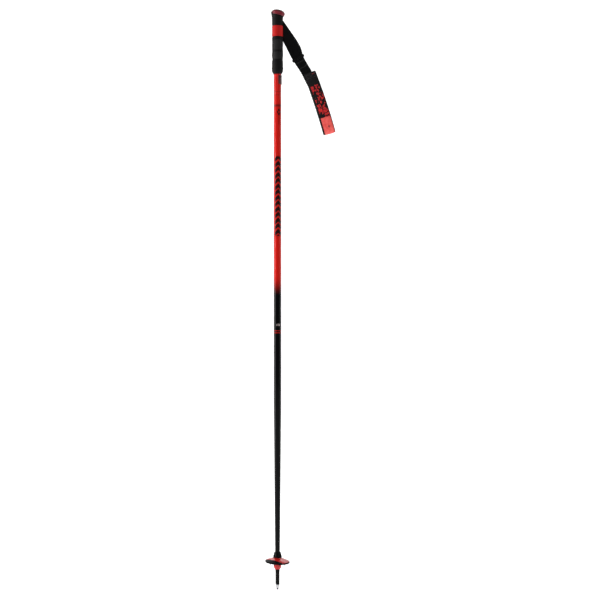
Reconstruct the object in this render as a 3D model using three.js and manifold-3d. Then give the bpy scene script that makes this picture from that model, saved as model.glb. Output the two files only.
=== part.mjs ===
// Alpine ski pole: shaft, grip, hand strap, basket and tip.
// Millimetres, +Z up the shaft, +X to the strap side, origin at the centre of the tip's end face.
import * as THREE from "three";
import { mergeVertices } from "three/addons/utils/BufferGeometryUtils.js";
import Module from "manifold-3d";

const wasm = await Module();
wasm.setup();

// ---- driving dimensions ----
const POLE_LENGTH = 1250;
const GAP = 0.3; // between two touching pieces

const SHAFT_RADIUS = 7.9;
const SHAFT_END_RADIUS = 5.2;
const SHAFT_WALL = 1;
const SHAFT_BOTTOM = 52;
const SHAFT_TOP = 1178;
const TAPER_BOTTOM = 84;
const TAPER_TOP = 396;

const PIN_RADIUS = 2.1;
const PIN_TOP = 15;
const SLEEVE_BOTTOM = 3.6;
const STEM_BOTTOM = 10.8;
const STEM_RADIUS = 4.3;
const STEM_TOP_RADIUS = 4.45;
const SPIGOT_RADIUS = 3.1;
const SPIGOT_TOP = 24;
const SEAT_BOTTOM = 49;
const SEAT_RADIUS = 6.5;
const SHOULDER_BOTTOM = 69;
const SHOULDER_TOP = 81;
const SHOULDER_RADIUS = 9.5;
const FIN_COUNT = 10;

const BASKET_RADIUS = 26;
const BASKET_EDGE_Z = 61.4;
const BASKET_TOP_Z = 68;
const BASKET_THICKNESS = 2.4;
const BASKET_CANT = 3.5; // degrees, lower at the strap side
const BASKET_PITCH = 4; // degrees, lower at -Y
const HUB_RADIUS = 8.4;
const BOWL_BOTTOM = 44;
const TWO_TONE_RADIUS = 54.3; // circle that parts the red disc from the black rim
const TWO_TONE_CENTRE = new THREE.Vector2(21.3, 31.8);
const RIM_WIDTH = 1.3; // where the rim is narrowest
const TOOTH_COUNT = 14;
const RIB_COUNT = 6;

const GRIP_RADIUS = 11.9;
const GRIP_BOTTOM = 1110;
const FLANGE_TOP = 1127;
const SLEEVE_TOP = 1189.4;
const BAND_BOTTOM = 1191;
const BAND_TOP = 1213.8;
const NECK_BOTTOM = 1215.4;
const NECK_FLARE = 1229;
const NECK_TOP = 1246;
const NECK_LIP_RADIUS = 14;
const CORE_RADIUS = 10;
const CORE_BOTTOM = 1113;
const CORE_TOP = 1234.5;
const CAP_RADIUS = 14.4;
const CAP_CENTRE = new THREE.Vector3(1.75, 0, 1241.9);
const CAP_TILT = 12; // degrees, lower at the strap side
const CAP_HEIGHT = POLE_LENGTH - CAP_CENTRE.z - 0.75; // the tilt adds the rest
const CAP_RIM = 4.6;
const BOSS_RADIUS = 5;
const BOSS_BOTTOM = 1231.5;

const LABEL_BOTTOM = 1088;
const LABEL_TOP = 1107.5;
const LABEL_THICKNESS = 1;
const LABEL_HALF_ANGLE = 75;

const STRAP_PIN = new THREE.Vector2(4.5, 1217.5); // x and z of the cross pin
const STRAP_PIN_RADIUS = 1.7;
const STRAP_PIN_HALF = 8;
const EYELET_RADIUS = 3.6;
const WEB_THICKNESS = 1.5;
const WEB_HALF = 11;
const WEB_GAP = 0.25; // from the middle plane to each leg
const FRONT_LEG_ANGLE = 34.8; // degrees out from straight down
const BACK_LEG_ANGLE = 28.4;
const FOLD_ANGLE = 31;
const FOLD_POINT = new THREE.Vector2(28.5, 1178.2);
const FOLD_CLEARANCE = 2;
const SWING = 71; // degrees that the strap lifts
const SLOT_HALF = 2.4;

const PAD_START = new THREE.Vector2(69, 1113.4);
const PAD_LENGTH = 138.4;
const PAD_HALF = 13.2;
const PAD_START_ANGLE = 21;
const PAD_END_ANGLE = 15.5;
const LOOP_HALF_GAP = 7; // half the opening between the two runs
const LOOP_MOUTH = 2.1; // half the gap where the legs come in
const LOOP_OPENS_FROM = 12;
const LOOP_OPENS_TO = 60;
const LINING_THICKNESS = 1;
const PAD_THICKNESS = 1.8;
const PATCH_START = 103;
const PATCH_THICKNESS = 0.6;
const PATCH_HALF = 10.8;
const PATCH_OFFSET = 0.9;

const SLIDER_POINT = new THREE.Vector2(44.6, 1144.4);
const SLIDER_ANGLE = 30.5;
const SLIDER_INNER_HALF = new THREE.Vector2(12.9, 2.3);
const SLIDER_WALL = 1.3;
const SLIDER_LENGTH = 5;

// ---- materials ----
const finish = (color, roughness, metalness) =>
  new THREE.MeshStandardMaterial({ color, roughness, metalness, flatShading: true });
const shaftPaint = finish(0xa8201c, 0.3, 0.4);
const steel = finish(0xb4b6b8, 0.35, 1);
const blackPlastic = finish(0x141414, 0.4, 0);
const redPlastic = finish(0xb42820, 0.35, 0);
const capPlastic = finish(0x5a0c12, 0.2, 0);
const blackRubber = finish(0x1a1a1a, 0.7, 0);
const webbing = finish(0x161616, 0.85, 0);
const printedWebbing = finish(0x3a1212, 0.8, 0);
const patchFabric = finish(0xc03a34, 0.75, 0);
const labelPlastic = finish(0x4a0e14, 0.4, 0);

// ---- solids ----
const radians = THREE.MathUtils.degToRad;

// A closed geometry as a solid with its faces pointing out.
function solid(geometry) {
  const bare = geometry.clone();
  bare.deleteAttribute("normal");
  bare.deleteAttribute("uv");
  const merged = mergeVertices(bare, 1e-4);
  const corners = Array.from(merged.index.array);
  const build = (order) => {
    const triVerts = [];
    for (let i = 0; i < corners.length; i += 3) {
      const [a, b, c] = order.map((k) => corners[i + k]);
      if (a !== b && b !== c && c !== a) triVerts.push(a, b, c);
    }
    return new wasm.Manifold(
      new wasm.Mesh({
        numProp: 3,
        vertProperties: merged.attributes.position.array,
        triVerts: Uint32Array.from(triVerts),
      }),
    );
  };
  const made = build([0, 1, 2]);
  return made.volume() > 0 ? made : build([0, 2, 1]);
}

function meshOf(name, body, material) {
  const { vertProperties, triVerts } = body.getMesh();
  const geometry = new THREE.BufferGeometry();
  geometry.setAttribute("position", new THREE.BufferAttribute(vertProperties, 3));
  geometry.setIndex(new THREE.BufferAttribute(triVerts, 1));
  geometry.computeVertexNormals();
  const mesh = new THREE.Mesh(geometry, material.clone());
  mesh.name = name;
  return mesh;
}

// A turned solid: the profile is a list of [radius, z], on the axis at both ends.
function turned(profile, segments = 40) {
  const points = profile.map(([r, z]) => new THREE.Vector2(r, z));
  return solid(new THREE.LatheGeometry(points, segments).rotateX(Math.PI / 2));
}

// A turned ring: the profile closes on itself and stays off the axis.
function ring(profile, segments = 40) {
  return turned([...profile, profile[0]], segments);
}

// A disc or bar round an upright axis at (x, y).
function upright(radius, bottom, top, x = 0, y = 0, segments = 48) {
  const height = top - bottom;
  const bar = new THREE.CylinderGeometry(radius, radius, height, segments);
  return solid(bar.rotateX(Math.PI / 2).translate(x, y, bottom + height / 2));
}

// A bar along Y through the point (x, z).
function crosswise(radius, from, to, at, segments = 24) {
  const bar = new THREE.CylinderGeometry(radius, radius, to - from, segments);
  return solid(bar.translate(at.x, (from + to) / 2, at.y));
}

// An outline in the XZ plane, given thickness from y0 to y1.
function plate(shape, y0, y1) {
  const geometry = new THREE.ExtrudeGeometry(shape, {
    depth: y1 - y0,
    bevelEnabled: false,
    curveSegments: 20,
  });
  return solid(geometry.rotateX(Math.PI / 2).translate(0, y1, 0));
}

// A strip through stations {point, out, across}: it lies from t0 to t1 along out.
function strip(stations, t0, t1, half, shift = 0) {
  const corner = (s, t, w) => s.point.clone().addScaledVector(s.out, t).addScaledVector(s.across, w);
  const positions = stations.flatMap((s) =>
    [
      corner(s, t0, shift - half),
      corner(s, t1, shift - half),
      corner(s, t1, shift + half),
      corner(s, t0, shift + half),
    ].flatMap((v) => v.toArray()),
  );
  const faces = [0, 1, 2, 0, 2, 3];
  const last = 4 * (stations.length - 1);
  faces.push(last, last + 2, last + 1, last, last + 3, last + 2);
  for (let i = 0; i < last; i += 4) {
    for (let k = 0; k < 4; k += 1) {
      const next = (k + 1) % 4;
      faces.push(i + k, i + 4 + k, i + 4 + next, i + k, i + 4 + next, i + next);
    }
  }
  const geometry = new THREE.BufferGeometry();
  geometry.setAttribute("position", new THREE.Float32BufferAttribute(positions, 3));
  geometry.setIndex(faces);
  return solid(geometry);
}

// Directions in the XZ plane: along the strap, and across its width, at an angle out from straight down.
const along = (angle) => new THREE.Vector2(Math.sin(radians(angle)), -Math.cos(radians(angle)));
const across = (angle) => new THREE.Vector2(Math.cos(radians(angle)), Math.sin(radians(angle)));
const raised = (v, y = 0) => new THREE.Vector3(v.x, y, v.y);

// ---- shaft ----
function shaftTube() {
  const inner = SHAFT_RADIUS - SHAFT_WALL;
  const innerEnd = SHAFT_END_RADIUS - SHAFT_WALL;
  return ring([
    [innerEnd, SHAFT_BOTTOM],
    [SHAFT_END_RADIUS, SHAFT_BOTTOM],
    [SHAFT_END_RADIUS, TAPER_BOTTOM],
    [SHAFT_RADIUS, TAPER_TOP],
    [SHAFT_RADIUS, SHAFT_TOP],
    [inner, SHAFT_TOP],
    [inner, TAPER_TOP],
    [innerEnd, TAPER_BOTTOM],
  ]);
}

function sizeLabel() {
  const inner = SHAFT_RADIUS + GAP;
  const outer = inner + LABEL_THICKNESS;
  const half = radians(LABEL_HALF_ANGLE);
  const shape = new THREE.Shape();
  shape.absarc(0, 0, outer, -half, half, false);
  shape.absarc(0, 0, inner, half, -half, true);
  const depth = LABEL_TOP - LABEL_BOTTOM;
  const geometry = new THREE.ExtrudeGeometry(shape, { depth, bevelEnabled: false, curveSegments: 16 });
  return solid(geometry.translate(0, 0, LABEL_BOTTOM));
}

// ---- tip and ferrule ----
function tipPin() {
  return turned([
    [0, 0],
    [PIN_RADIUS - 0.4, 0],
    [PIN_RADIUS, 0.6],
    [PIN_RADIUS, PIN_TOP],
    [0, PIN_TOP],
  ], 32);
}

function tipSleeve() {
  const bore = PIN_RADIUS + GAP;
  return ring([
    [bore, SLEEVE_BOTTOM],
    [bore + 0.4, SLEEVE_BOTTOM],
    [STEM_RADIUS - 0.2, STEM_BOTTOM - 1.2],
    [STEM_RADIUS - 0.2, STEM_BOTTOM - GAP],
    [SPIGOT_RADIUS, STEM_BOTTOM - GAP],
    [SPIGOT_RADIUS, SPIGOT_TOP],
    [bore, SPIGOT_TOP],
  ], 32);
}

// Core of the shoulder and its outer line, as radii at a height.
const shoulderLine = (z, bottomRadius, topRadius) =>
  THREE.MathUtils.mapLinear(z, SHOULDER_BOTTOM, SHOULDER_TOP, bottomRadius, topRadius);

function shoulderFin(index) {
  const halfWidth = 0.7;
  const shape = new THREE.Shape();
  shape.moveTo(SEAT_RADIUS - 0.6, SHOULDER_BOTTOM + 0.5);
  shape.lineTo(SHOULDER_RADIUS - 0.1, SHOULDER_BOTTOM + 0.5);
  shape.lineTo(SHOULDER_RADIUS - 0.4, SHOULDER_BOTTOM + 2.5);
  shape.lineTo(shoulderLine(SHOULDER_TOP - 0.6, 0, SEAT_RADIUS), SHOULDER_TOP - 0.6);
  shape.lineTo(SEAT_RADIUS - 0.6, SHOULDER_TOP - 0.6);
  return plate(shape, -halfWidth, halfWidth).rotate([0, 0, (360 / FIN_COUNT) * index]);
}

function ferrule() {
  const socket = SHAFT_END_RADIUS + GAP;
  const bead = STEM_TOP_RADIUS + 0.8;
  let body = turned([
    [0, STEM_BOTTOM],
    [STEM_RADIUS, STEM_BOTTOM],
    [STEM_TOP_RADIUS, BOWL_BOTTOM - 2.6],
    [bead, BOWL_BOTTOM - 1.8],
    [bead, BOWL_BOTTOM - 1.2],
    [STEM_TOP_RADIUS, BOWL_BOTTOM - 0.6],
    [STEM_TOP_RADIUS, SEAT_BOTTOM],
    [SEAT_RADIUS, SEAT_BOTTOM + 2],
    [SEAT_RADIUS, SHOULDER_BOTTOM],
    [SHOULDER_RADIUS, SHOULDER_BOTTOM],
    [SHOULDER_RADIUS, SHOULDER_BOTTOM + 1],
    [SEAT_RADIUS + 0.8, SHOULDER_BOTTOM + 2],
    [SEAT_RADIUS, SHOULDER_TOP],
    [0, SHOULDER_TOP],
  ]);
  for (let i = 0; i < FIN_COUNT; i += 1) body = body.add(shoulderFin(i));
  body = body.subtract(upright(socket, SHAFT_BOTTOM - GAP, SHOULDER_TOP + 1));
  return body.subtract(upright(SPIGOT_RADIUS + GAP, STEM_BOTTOM - 1, SPIGOT_TOP + GAP));
}

// ---- basket ----
// Tilts a basket part about the middle of the basket's edge.
function canted(body) {
  return body.translate([0, 0, -BASKET_EDGE_Z])
    .rotate([BASKET_PITCH, BASKET_CANT, 0])
    .translate([0, 0, BASKET_EDGE_Z]);
}

// The canted dome between an inner and the outer radius, before it is parted in two colours.
function dome() {
  const slope = (BASKET_TOP_Z - BASKET_EDGE_Z) / (BASKET_RADIUS - HUB_RADIUS);
  const topAt = (r) => {
    const t = (r - HUB_RADIUS) / (BASKET_RADIUS - HUB_RADIUS);
    return BASKET_TOP_Z - slope * (r - HUB_RADIUS) + 2.2 * t * (1 - t);
  };
  const radii = [BASKET_RADIUS, 22, 18, 14, 11, HUB_RADIUS - 1];
  const upper = radii.map((r) => [r, topAt(r)]);
  const lower = radii.map((r) => [r, topAt(r) - BASKET_THICKNESS]).reverse();
  const shell = ring([...lower, [BASKET_RADIUS + 0.4, BASKET_EDGE_Z - 1], ...upper], 48);
  return canted(shell);
}

// The upright column that holds all of the red part of the dome.
function redColumn(clearance) {
  const wide = upright(BASKET_RADIUS - RIM_WIDTH + clearance, 40, 90, 0, 0, 48);
  const { x, y } = TWO_TONE_CENTRE;
  return wide.intersect(upright(TWO_TONE_RADIUS + clearance, 40, 90, x, y, 48));
}

function basketHub() {
  const top = SHOULDER_BOTTOM - GAP;
  const bore = SEAT_RADIUS + GAP;
  const lip = STEM_TOP_RADIUS + GAP;
  return ring([
    [lip, BOWL_BOTTOM],
    [lip + 0.6, BOWL_BOTTOM - 0.2],
    [HUB_RADIUS - 1.8, BOWL_BOTTOM + 1],
    [HUB_RADIUS - 0.8, BOWL_BOTTOM + 2.6],
    [HUB_RADIUS, BOWL_BOTTOM + 6],
    [HUB_RADIUS, top - 1],
    [HUB_RADIUS - 0.6, top],
    [bore, top],
    [bore, SEAT_BOTTOM + 1.2],
    [lip, SEAT_BOTTOM - 0.8],
  ], 48);
}

function basketRib(index) {
  const shape = new THREE.Shape();
  shape.moveTo(HUB_RADIUS - 0.6, BASKET_EDGE_Z - 2.4);
  shape.lineTo(20, BASKET_EDGE_Z - 2.4);
  shape.lineTo(20, BASKET_EDGE_Z + 0.4);
  shape.lineTo(HUB_RADIUS - 0.6, BASKET_TOP_Z - 1.8);
  return plate(shape, -0.7, 0.7).rotate([0, 0, (360 / RIB_COUNT) * (index + 0.5)]);
}

function basketDisc() {
  const clear = GAP / 2;
  let body = dome();
  for (let i = 0; i < RIB_COUNT; i += 1) body = body.add(basketRib(i));
  body = body.intersect(redColumn(-clear)).add(basketHub());
  body = body.subtract(upright(SHOULDER_RADIUS + 2, SHOULDER_BOTTOM - GAP, 90, 0, 0, 48));
  return body.subtract(upright(SEAT_RADIUS + GAP, SEAT_BOTTOM + 1.2, 90, 0, 0, 48));
}

function basketTooth(index) {
  const tooth = new THREE.CylinderGeometry(1.1, 0.6, 3.4, 8).rotateX(Math.PI / 2);
  const placed = solid(tooth.translate(BASKET_RADIUS - 1.3, 0, BASKET_EDGE_Z - 3.2));
  return canted(placed.rotate([0, 0, (360 / TOOTH_COUNT) * index]));
}

function basketRim() {
  let rim = dome();
  for (let i = 0; i < TOOTH_COUNT; i += 1) rim = rim.add(basketTooth(i));
  let cut = redColumn(GAP / 2);
  for (let i = 0; i < RIB_COUNT; i += 1) cut = cut.add(wideRib(i));
  return rim.subtract(cut);
}

// Room for a rib where it runs under the rim.
function wideRib(index) {
  const room = new THREE.BoxGeometry(21, 2, 8).translate(10.5, 0, BASKET_EDGE_Z + 0.2 - 4);
  return solid(room).rotate([0, 0, (360 / RIB_COUNT) * (index + 0.5)]).intersect(redColumn(GAP / 2));
}

// ---- grip ----
// The slot for the strap: round about the pin, and open to the rear over the strap's swing.
function strapSlot() {
  const reach = 40;
  const half = WEB_HALF + 1.2;
  const low = STRAP_PIN.clone().addScaledVector(across(BACK_LEG_ANGLE), -half);
  const topAngle = FRONT_LEG_ANGLE + SWING + 2;
  const high = STRAP_PIN.clone().addScaledVector(across(topAngle), half);
  const lowEnd = low.clone().addScaledVector(along(BACK_LEG_ANGLE), reach * 2);
  const highEnd = high.clone().addScaledVector(along(topAngle), reach);
  const shape = new THREE.Shape([low, lowEnd, highEnd, high]);
  const round = crosswise(half, -SLOT_HALF, SLOT_HALF, STRAP_PIN, 40);
  return plate(shape, -SLOT_HALF, SLOT_HALF).add(round);
}

function gripCore() {
  let core = turned([
    [0, CORE_BOTTOM],
    [CORE_RADIUS, CORE_BOTTOM],
    [CORE_RADIUS, CORE_TOP],
    [0, CORE_TOP],
  ], 48);
  core = core.subtract(upright(SHAFT_RADIUS + GAP, CORE_BOTTOM - 1, SHAFT_TOP + GAP));
  core = core.subtract(upright(BOSS_RADIUS + GAP, BOSS_BOTTOM - GAP, CORE_TOP + 1));
  const hole = STRAP_PIN_RADIUS + GAP;
  core = core.subtract(crosswise(hole, -STRAP_PIN_HALF - GAP, CORE_RADIUS, STRAP_PIN));
  return core.subtract(strapSlot());
}

function gripSleeve() {
  const bore = CORE_RADIUS + GAP;
  const throat = SHAFT_RADIUS + GAP;
  const sleeve = ring([
    [throat, GRIP_BOTTOM],
    [throat + 0.8, GRIP_BOTTOM],
    [GRIP_RADIUS - 0.3, GRIP_BOTTOM + 5],
    [GRIP_RADIUS + 0.3, GRIP_BOTTOM + 7],
    [GRIP_RADIUS + 0.3, FLANGE_TOP - 2],
    [GRIP_RADIUS - 0.2, FLANGE_TOP],
    [GRIP_RADIUS - 0.4, FLANGE_TOP + 9],
    [GRIP_RADIUS + 0.1, FLANGE_TOP + 18],
    [GRIP_RADIUS - 0.2, FLANGE_TOP + 34],
    [GRIP_RADIUS, FLANGE_TOP + 44],
    [GRIP_RADIUS, SLEEVE_TOP],
    [bore, SLEEVE_TOP],
    [bore, CORE_BOTTOM - GAP],
    [throat, CORE_BOTTOM - GAP],
  ], 48);
  return sleeve.subtract(strapSlot());
}

function gripBand() {
  const bore = CORE_RADIUS + GAP;
  const band = ring([
    [bore, BAND_BOTTOM],
    [GRIP_RADIUS - 0.4, BAND_BOTTOM],
    [GRIP_RADIUS - 0.1, BAND_BOTTOM + 0.6],
    [GRIP_RADIUS - 0.1, BAND_TOP - 0.6],
    [GRIP_RADIUS - 0.4, BAND_TOP],
    [bore, BAND_TOP],
  ], 48);
  return band.subtract(strapSlot());
}

// The cap's outside, grown by a clearance, and tilted in place.
function capDome(clearance) {
  const profile = [[0, -CAP_RIM - clearance]];
  profile.push([CAP_RADIUS - 0.8 + clearance, -CAP_RIM - clearance]);
  const steps = 9;
  for (let i = 0; i <= steps; i += 1) {
    const turn = (Math.PI / 2) * (i / steps);
    const radius = (CAP_RADIUS + clearance) * Math.cos(turn) ** 0.8;
    profile.push([i === steps ? 0 : radius, (CAP_HEIGHT + clearance) * Math.sin(turn)]);
  }
  const { x, z } = CAP_CENTRE;
  return turned(profile, 48).rotate([0, CAP_TILT, 0]).translate([x, 0, z]);
}

function gripCap() {
  return capDome(0).add(upright(BOSS_RADIUS, BOSS_BOTTOM, CAP_CENTRE.z, 0, 0, 40));
}

function gripNeck() {
  const bore = CORE_RADIUS + GAP;
  const profile = [
    [bore, NECK_BOTTOM],
    [GRIP_RADIUS - 0.2, NECK_BOTTOM],
    [GRIP_RADIUS, NECK_BOTTOM + 0.8],
    [GRIP_RADIUS, NECK_FLARE],
  ];
  const steps = 6;
  for (let i = 1; i <= steps; i += 1) {
    const t = i / steps;
    const radius = GRIP_RADIUS + (NECK_LIP_RADIUS - GRIP_RADIUS) * t ** 1.6;
    profile.push([radius, NECK_FLARE + (NECK_TOP - 3 - NECK_FLARE) * t]);
  }
  profile.push([NECK_LIP_RADIUS, NECK_TOP], [bore, NECK_TOP]);
  const above = new THREE.BoxGeometry(60, 60, 40).translate(0, 0, 20 - CAP_RIM - GAP);
  const seat = above.rotateY(radians(CAP_TILT)).translate(CAP_CENTRE.x, 0, CAP_CENTRE.z);
  return ring(profile, 48).subtract(solid(seat)).subtract(strapSlot());
}

// ---- strap ----
function strapPin() {
  return crosswise(STRAP_PIN_RADIUS, -STRAP_PIN_HALF, STRAP_PIN_HALF, STRAP_PIN);
}

function strapEyelet() {
  const half = WEB_GAP + WEB_THICKNESS + 0.3;
  const outside = crosswise(EYELET_RADIUS, -half, half, STRAP_PIN);
  return outside.subtract(crosswise(STRAP_PIN_RADIUS + GAP, -half - 1, half + 1, STRAP_PIN));
}

// One webbing end: round about the pin, then straight to just above the fold line.
function upperLeg(angle, y0, y1) {
  const fold = across(FOLD_ANGLE);
  const stop = FOLD_POINT.clone().addScaledVector(along(FOLD_ANGLE), -FOLD_CLEARANCE);
  const down = along(angle);
  const edgeEnd = (side) => {
    const start = STRAP_PIN.clone().addScaledVector(across(angle), side * WEB_HALF);
    const reach = stop.clone().sub(start).cross(fold) / down.cross(fold);
    return [start, start.clone().addScaledVector(down, reach)];
  };
  const [lowStart, lowEnd] = edgeEnd(-1);
  const [highStart, highEnd] = edgeEnd(1);
  const leg = plate(new THREE.Shape([lowStart, lowEnd, highEnd, highStart]), y0, y1);
  const end = crosswise(WEB_HALF, y0, y1, STRAP_PIN, 40);
  return leg.add(end).subtract(crosswise(EYELET_RADIUS + GAP, y0 - 1, y1 + 1, STRAP_PIN));
}

// One leg below the fold, down a smooth route in the middle of its width, into the mouth of the pad.
function lowerLeg(route, y0, y1) {
  const curve = new THREE.SplineCurve(route);
  const steps = 24;
  const stations = curve.getPoints(steps).map((point, i) => {
    const tangent = curve.getTangent(i / steps);
    return {
      point: raised(point),
      out: new THREE.Vector3(0, 1, 0),
      across: new THREE.Vector3(-tangent.y, 0, tangent.x),
    };
  });
  return strip(stations, y0, y1, WEB_HALF);
}

const LEG_FOOT = [
  new THREE.Vector2(54.6, 1127.5),
  new THREE.Vector2(63.1, 1113.4),
  new THREE.Vector2(70, 1099),
  new THREE.Vector2(76.7, 1086.4),
];

function legRoute(angle, bend, bulge) {
  const start = FOLD_POINT.clone().addScaledVector(along(FOLD_ANGLE), FOLD_CLEARANCE);
  const top = STRAP_PIN.clone();
  const reach = start.clone().sub(top).dot(along(angle));
  top.addScaledVector(along(angle), reach);
  const waist = SLIDER_POINT.clone().addScaledVector(across(SLIDER_ANGLE), bend);
  const middle = top.clone().lerp(waist, 0.5).addScaledVector(across(SLIDER_ANGLE), bulge);
  return [top, middle, waist, ...LEG_FOOT];
}

// The padded loop's route: down the front run, round the bottom fold, and up the back run.
const RUN_LENGTH = PAD_LENGTH - LOOP_HALF_GAP - LINING_THICKNESS - GAP - PAD_THICKNESS;

function runMiddle(s) {
  const angleAt = (at) => THREE.MathUtils.mapLinear(at, 0, PAD_LENGTH, PAD_START_ANGLE, PAD_END_ANGLE);
  const point = PAD_START.clone();
  const steps = 24;
  for (let i = 0; i < steps; i += 1) {
    point.addScaledVector(along(angleAt((s * (i + 0.5)) / steps)), s / steps);
  }
  return { point, angle: angleAt(s) };
}

function halfGap(s) {
  const open = THREE.MathUtils.smoothstep(s, LOOP_OPENS_FROM, LOOP_OPENS_TO);
  return LOOP_MOUTH + (LOOP_HALF_GAP - LOOP_MOUTH) * open;
}

function runStations(side, from, to, steps) {
  const stations = [];
  for (let i = 0; i <= steps; i += 1) {
    const s = from + ((to - from) * i) / steps;
    const { point, angle } = runMiddle(s);
    stations.push({
      point: raised(point, side * halfGap(s)),
      out: new THREE.Vector3(0, side, 0),
      across: raised(across(angle)),
    });
  }
  return stations;
}

// The fold turns half round an axis across the strap; turn 0 is the front run and 1 the back run.
function foldStations(from, to, steps) {
  const { point, angle } = runMiddle(RUN_LENGTH);
  const centre = raised(point);
  const down = raised(along(angle));
  const stations = [];
  for (let i = 0; i <= steps; i += 1) {
    const turn = Math.PI * (from + ((to - from) * i) / steps);
    const out = new THREE.Vector3(0, -Math.cos(turn), 0).addScaledVector(down, Math.sin(turn));
    stations.push({
      point: centre.clone().addScaledVector(out, LOOP_HALF_GAP),
      out,
      across: raised(across(angle)),
    });
  }
  return stations;
}

const LINING = [0, LINING_THICKNESS];
const PAD = [LINING_THICKNESS + GAP, LINING_THICKNESS + GAP + PAD_THICKNESS];
const PATCH = [PAD[1] + GAP, PAD[1] + GAP + PATCH_THICKNESS];
const SEAM = GAP; // gap between a run and the fold

function strapRun(side, [t0, t1], half) {
  return strip(runStations(side, 0, RUN_LENGTH - SEAM, 24), t0, t1, half);
}

function strapFold([t0, t1], half) {
  return strip(foldStations(0, 1, 16), t0, t1, half);
}

function endPatch() {
  const front = runStations(-1, PATCH_START, RUN_LENGTH - 1, 5);
  const round = foldStations(0, 0.45, 8);
  return strip([...front, ...round], ...PATCH, PATCH_HALF, PATCH_OFFSET);
}

// A flat ring that both legs pass through.
function strapSlider() {
  const outer = SLIDER_INNER_HALF.clone().addScalar(SLIDER_WALL);
  const box = (half, length) => new THREE.BoxGeometry(2 * half.x, 2 * half.y, length);
  const frame = solid(box(outer, SLIDER_LENGTH)).subtract(solid(box(SLIDER_INNER_HALF, SLIDER_LENGTH + 2)));
  return frame.rotate([0, -SLIDER_ANGLE, 0]).translate([SLIDER_POINT.x, 0, SLIDER_POINT.y]);
}

// ---- assembly ----
const pole = new THREE.Group();
const add = (name, body, material) => pole.add(meshOf(name, body, material));

add("shaft_tube", shaftTube(), shaftPaint);
add("size_label", sizeLabel(), labelPlastic);
add("ferrule", ferrule(), blackPlastic);
add("tip_sleeve", tipSleeve(), steel);
add("tip_pin", tipPin(), steel);
add("basket_disc", basketDisc(), redPlastic);
add("basket_rim", basketRim(), blackPlastic);
add("grip_core", gripCore(), blackPlastic);
add("grip_sleeve", gripSleeve(), blackRubber);
add("grip_band", gripBand(), redPlastic);
add("grip_neck", gripNeck(), blackRubber);
add("grip_cap", gripCap(), capPlastic);
add("strap_pin", strapPin(), steel);
add("strap_eyelet", strapEyelet(), steel);

const FRONT_LEG = [-WEB_GAP - WEB_THICKNESS, -WEB_GAP];
const BACK_LEG = [WEB_GAP, WEB_GAP + WEB_THICKNESS];
add("strap_leg_front_upper", upperLeg(FRONT_LEG_ANGLE, ...FRONT_LEG), webbing);
add("strap_leg_back_upper", upperLeg(BACK_LEG_ANGLE, ...BACK_LEG), webbing);
add("strap_leg_front_lower", lowerLeg(legRoute(FRONT_LEG_ANGLE, 0.8, 2), ...FRONT_LEG), webbing);
add("strap_leg_back_lower", lowerLeg(legRoute(BACK_LEG_ANGLE, -1.1, -0.3), ...BACK_LEG), webbing);
add("strap_slider", strapSlider(), blackPlastic);
for (const [side, word] of [[-1, "front"], [1, "back"]]) {
  add(`strap_pad_${word}`, strapRun(side, PAD, PAD_HALF), printedWebbing);
  add(`strap_lining_${word}`, strapRun(side, LINING, PAD_HALF - 0.8), webbing);
}
add("strap_pad_fold", strapFold(PAD, PAD_HALF), printedWebbing);
add("strap_lining_fold", strapFold(LINING, PAD_HALF - 0.8), webbing);
add("strap_end_patch", endPatch(), patchFabric);

export default pole;
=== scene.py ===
# %% [markdown]
# # A ski pole, built around a fixed frame
# The mechanical model of the pole is already made: it says where every part is and what moves.
# This lesson gives each part its finished surface. The frame is loaded first and never moved,
# and every new piece but the two strap legs is tied to one of its bodies, so it moves when the pole
# is posed.

# %% Load the frame
import math

import bmesh
import bpy
import numpy as np
from mathutils import Matrix, Vector


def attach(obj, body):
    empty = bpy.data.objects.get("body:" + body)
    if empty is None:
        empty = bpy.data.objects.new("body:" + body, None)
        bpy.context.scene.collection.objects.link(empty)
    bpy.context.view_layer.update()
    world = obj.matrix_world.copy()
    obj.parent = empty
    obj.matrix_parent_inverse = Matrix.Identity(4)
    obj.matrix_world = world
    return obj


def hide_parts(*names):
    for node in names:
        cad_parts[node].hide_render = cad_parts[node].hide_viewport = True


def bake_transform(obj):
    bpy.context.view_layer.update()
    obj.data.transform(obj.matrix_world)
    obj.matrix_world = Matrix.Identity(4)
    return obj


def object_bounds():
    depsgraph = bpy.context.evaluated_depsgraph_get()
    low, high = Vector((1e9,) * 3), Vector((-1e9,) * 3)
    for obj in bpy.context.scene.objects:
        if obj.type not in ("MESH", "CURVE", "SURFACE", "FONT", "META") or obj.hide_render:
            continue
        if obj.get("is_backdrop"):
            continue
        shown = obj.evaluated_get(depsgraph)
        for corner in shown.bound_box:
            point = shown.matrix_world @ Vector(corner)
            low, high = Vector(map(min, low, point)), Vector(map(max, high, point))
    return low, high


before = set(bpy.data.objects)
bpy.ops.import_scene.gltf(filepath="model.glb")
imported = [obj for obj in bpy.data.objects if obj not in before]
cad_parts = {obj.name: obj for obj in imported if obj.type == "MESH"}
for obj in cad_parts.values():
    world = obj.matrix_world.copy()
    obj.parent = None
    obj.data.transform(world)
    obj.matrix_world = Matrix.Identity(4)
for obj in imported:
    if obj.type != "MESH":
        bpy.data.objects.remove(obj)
cad_low, cad_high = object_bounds()
MM = 0.001

# %% [markdown]
# ## Camera, floor and light
# A pole is long and thin, so a long lens from the side, at half its height, shows it without
# leaning lines. The camera looks level along +Y. The floor runs up into a backdrop in one
# sweep, so no edge shows behind the object.

# %% Camera
LENS = 85.0
SENSOR = 36.0
VIEW_SIDE = 1.2931  # metres of the subject's plane that the picture covers
CAMERA_X = 0.0485
CAMERA_Z = 0.6236

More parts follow.
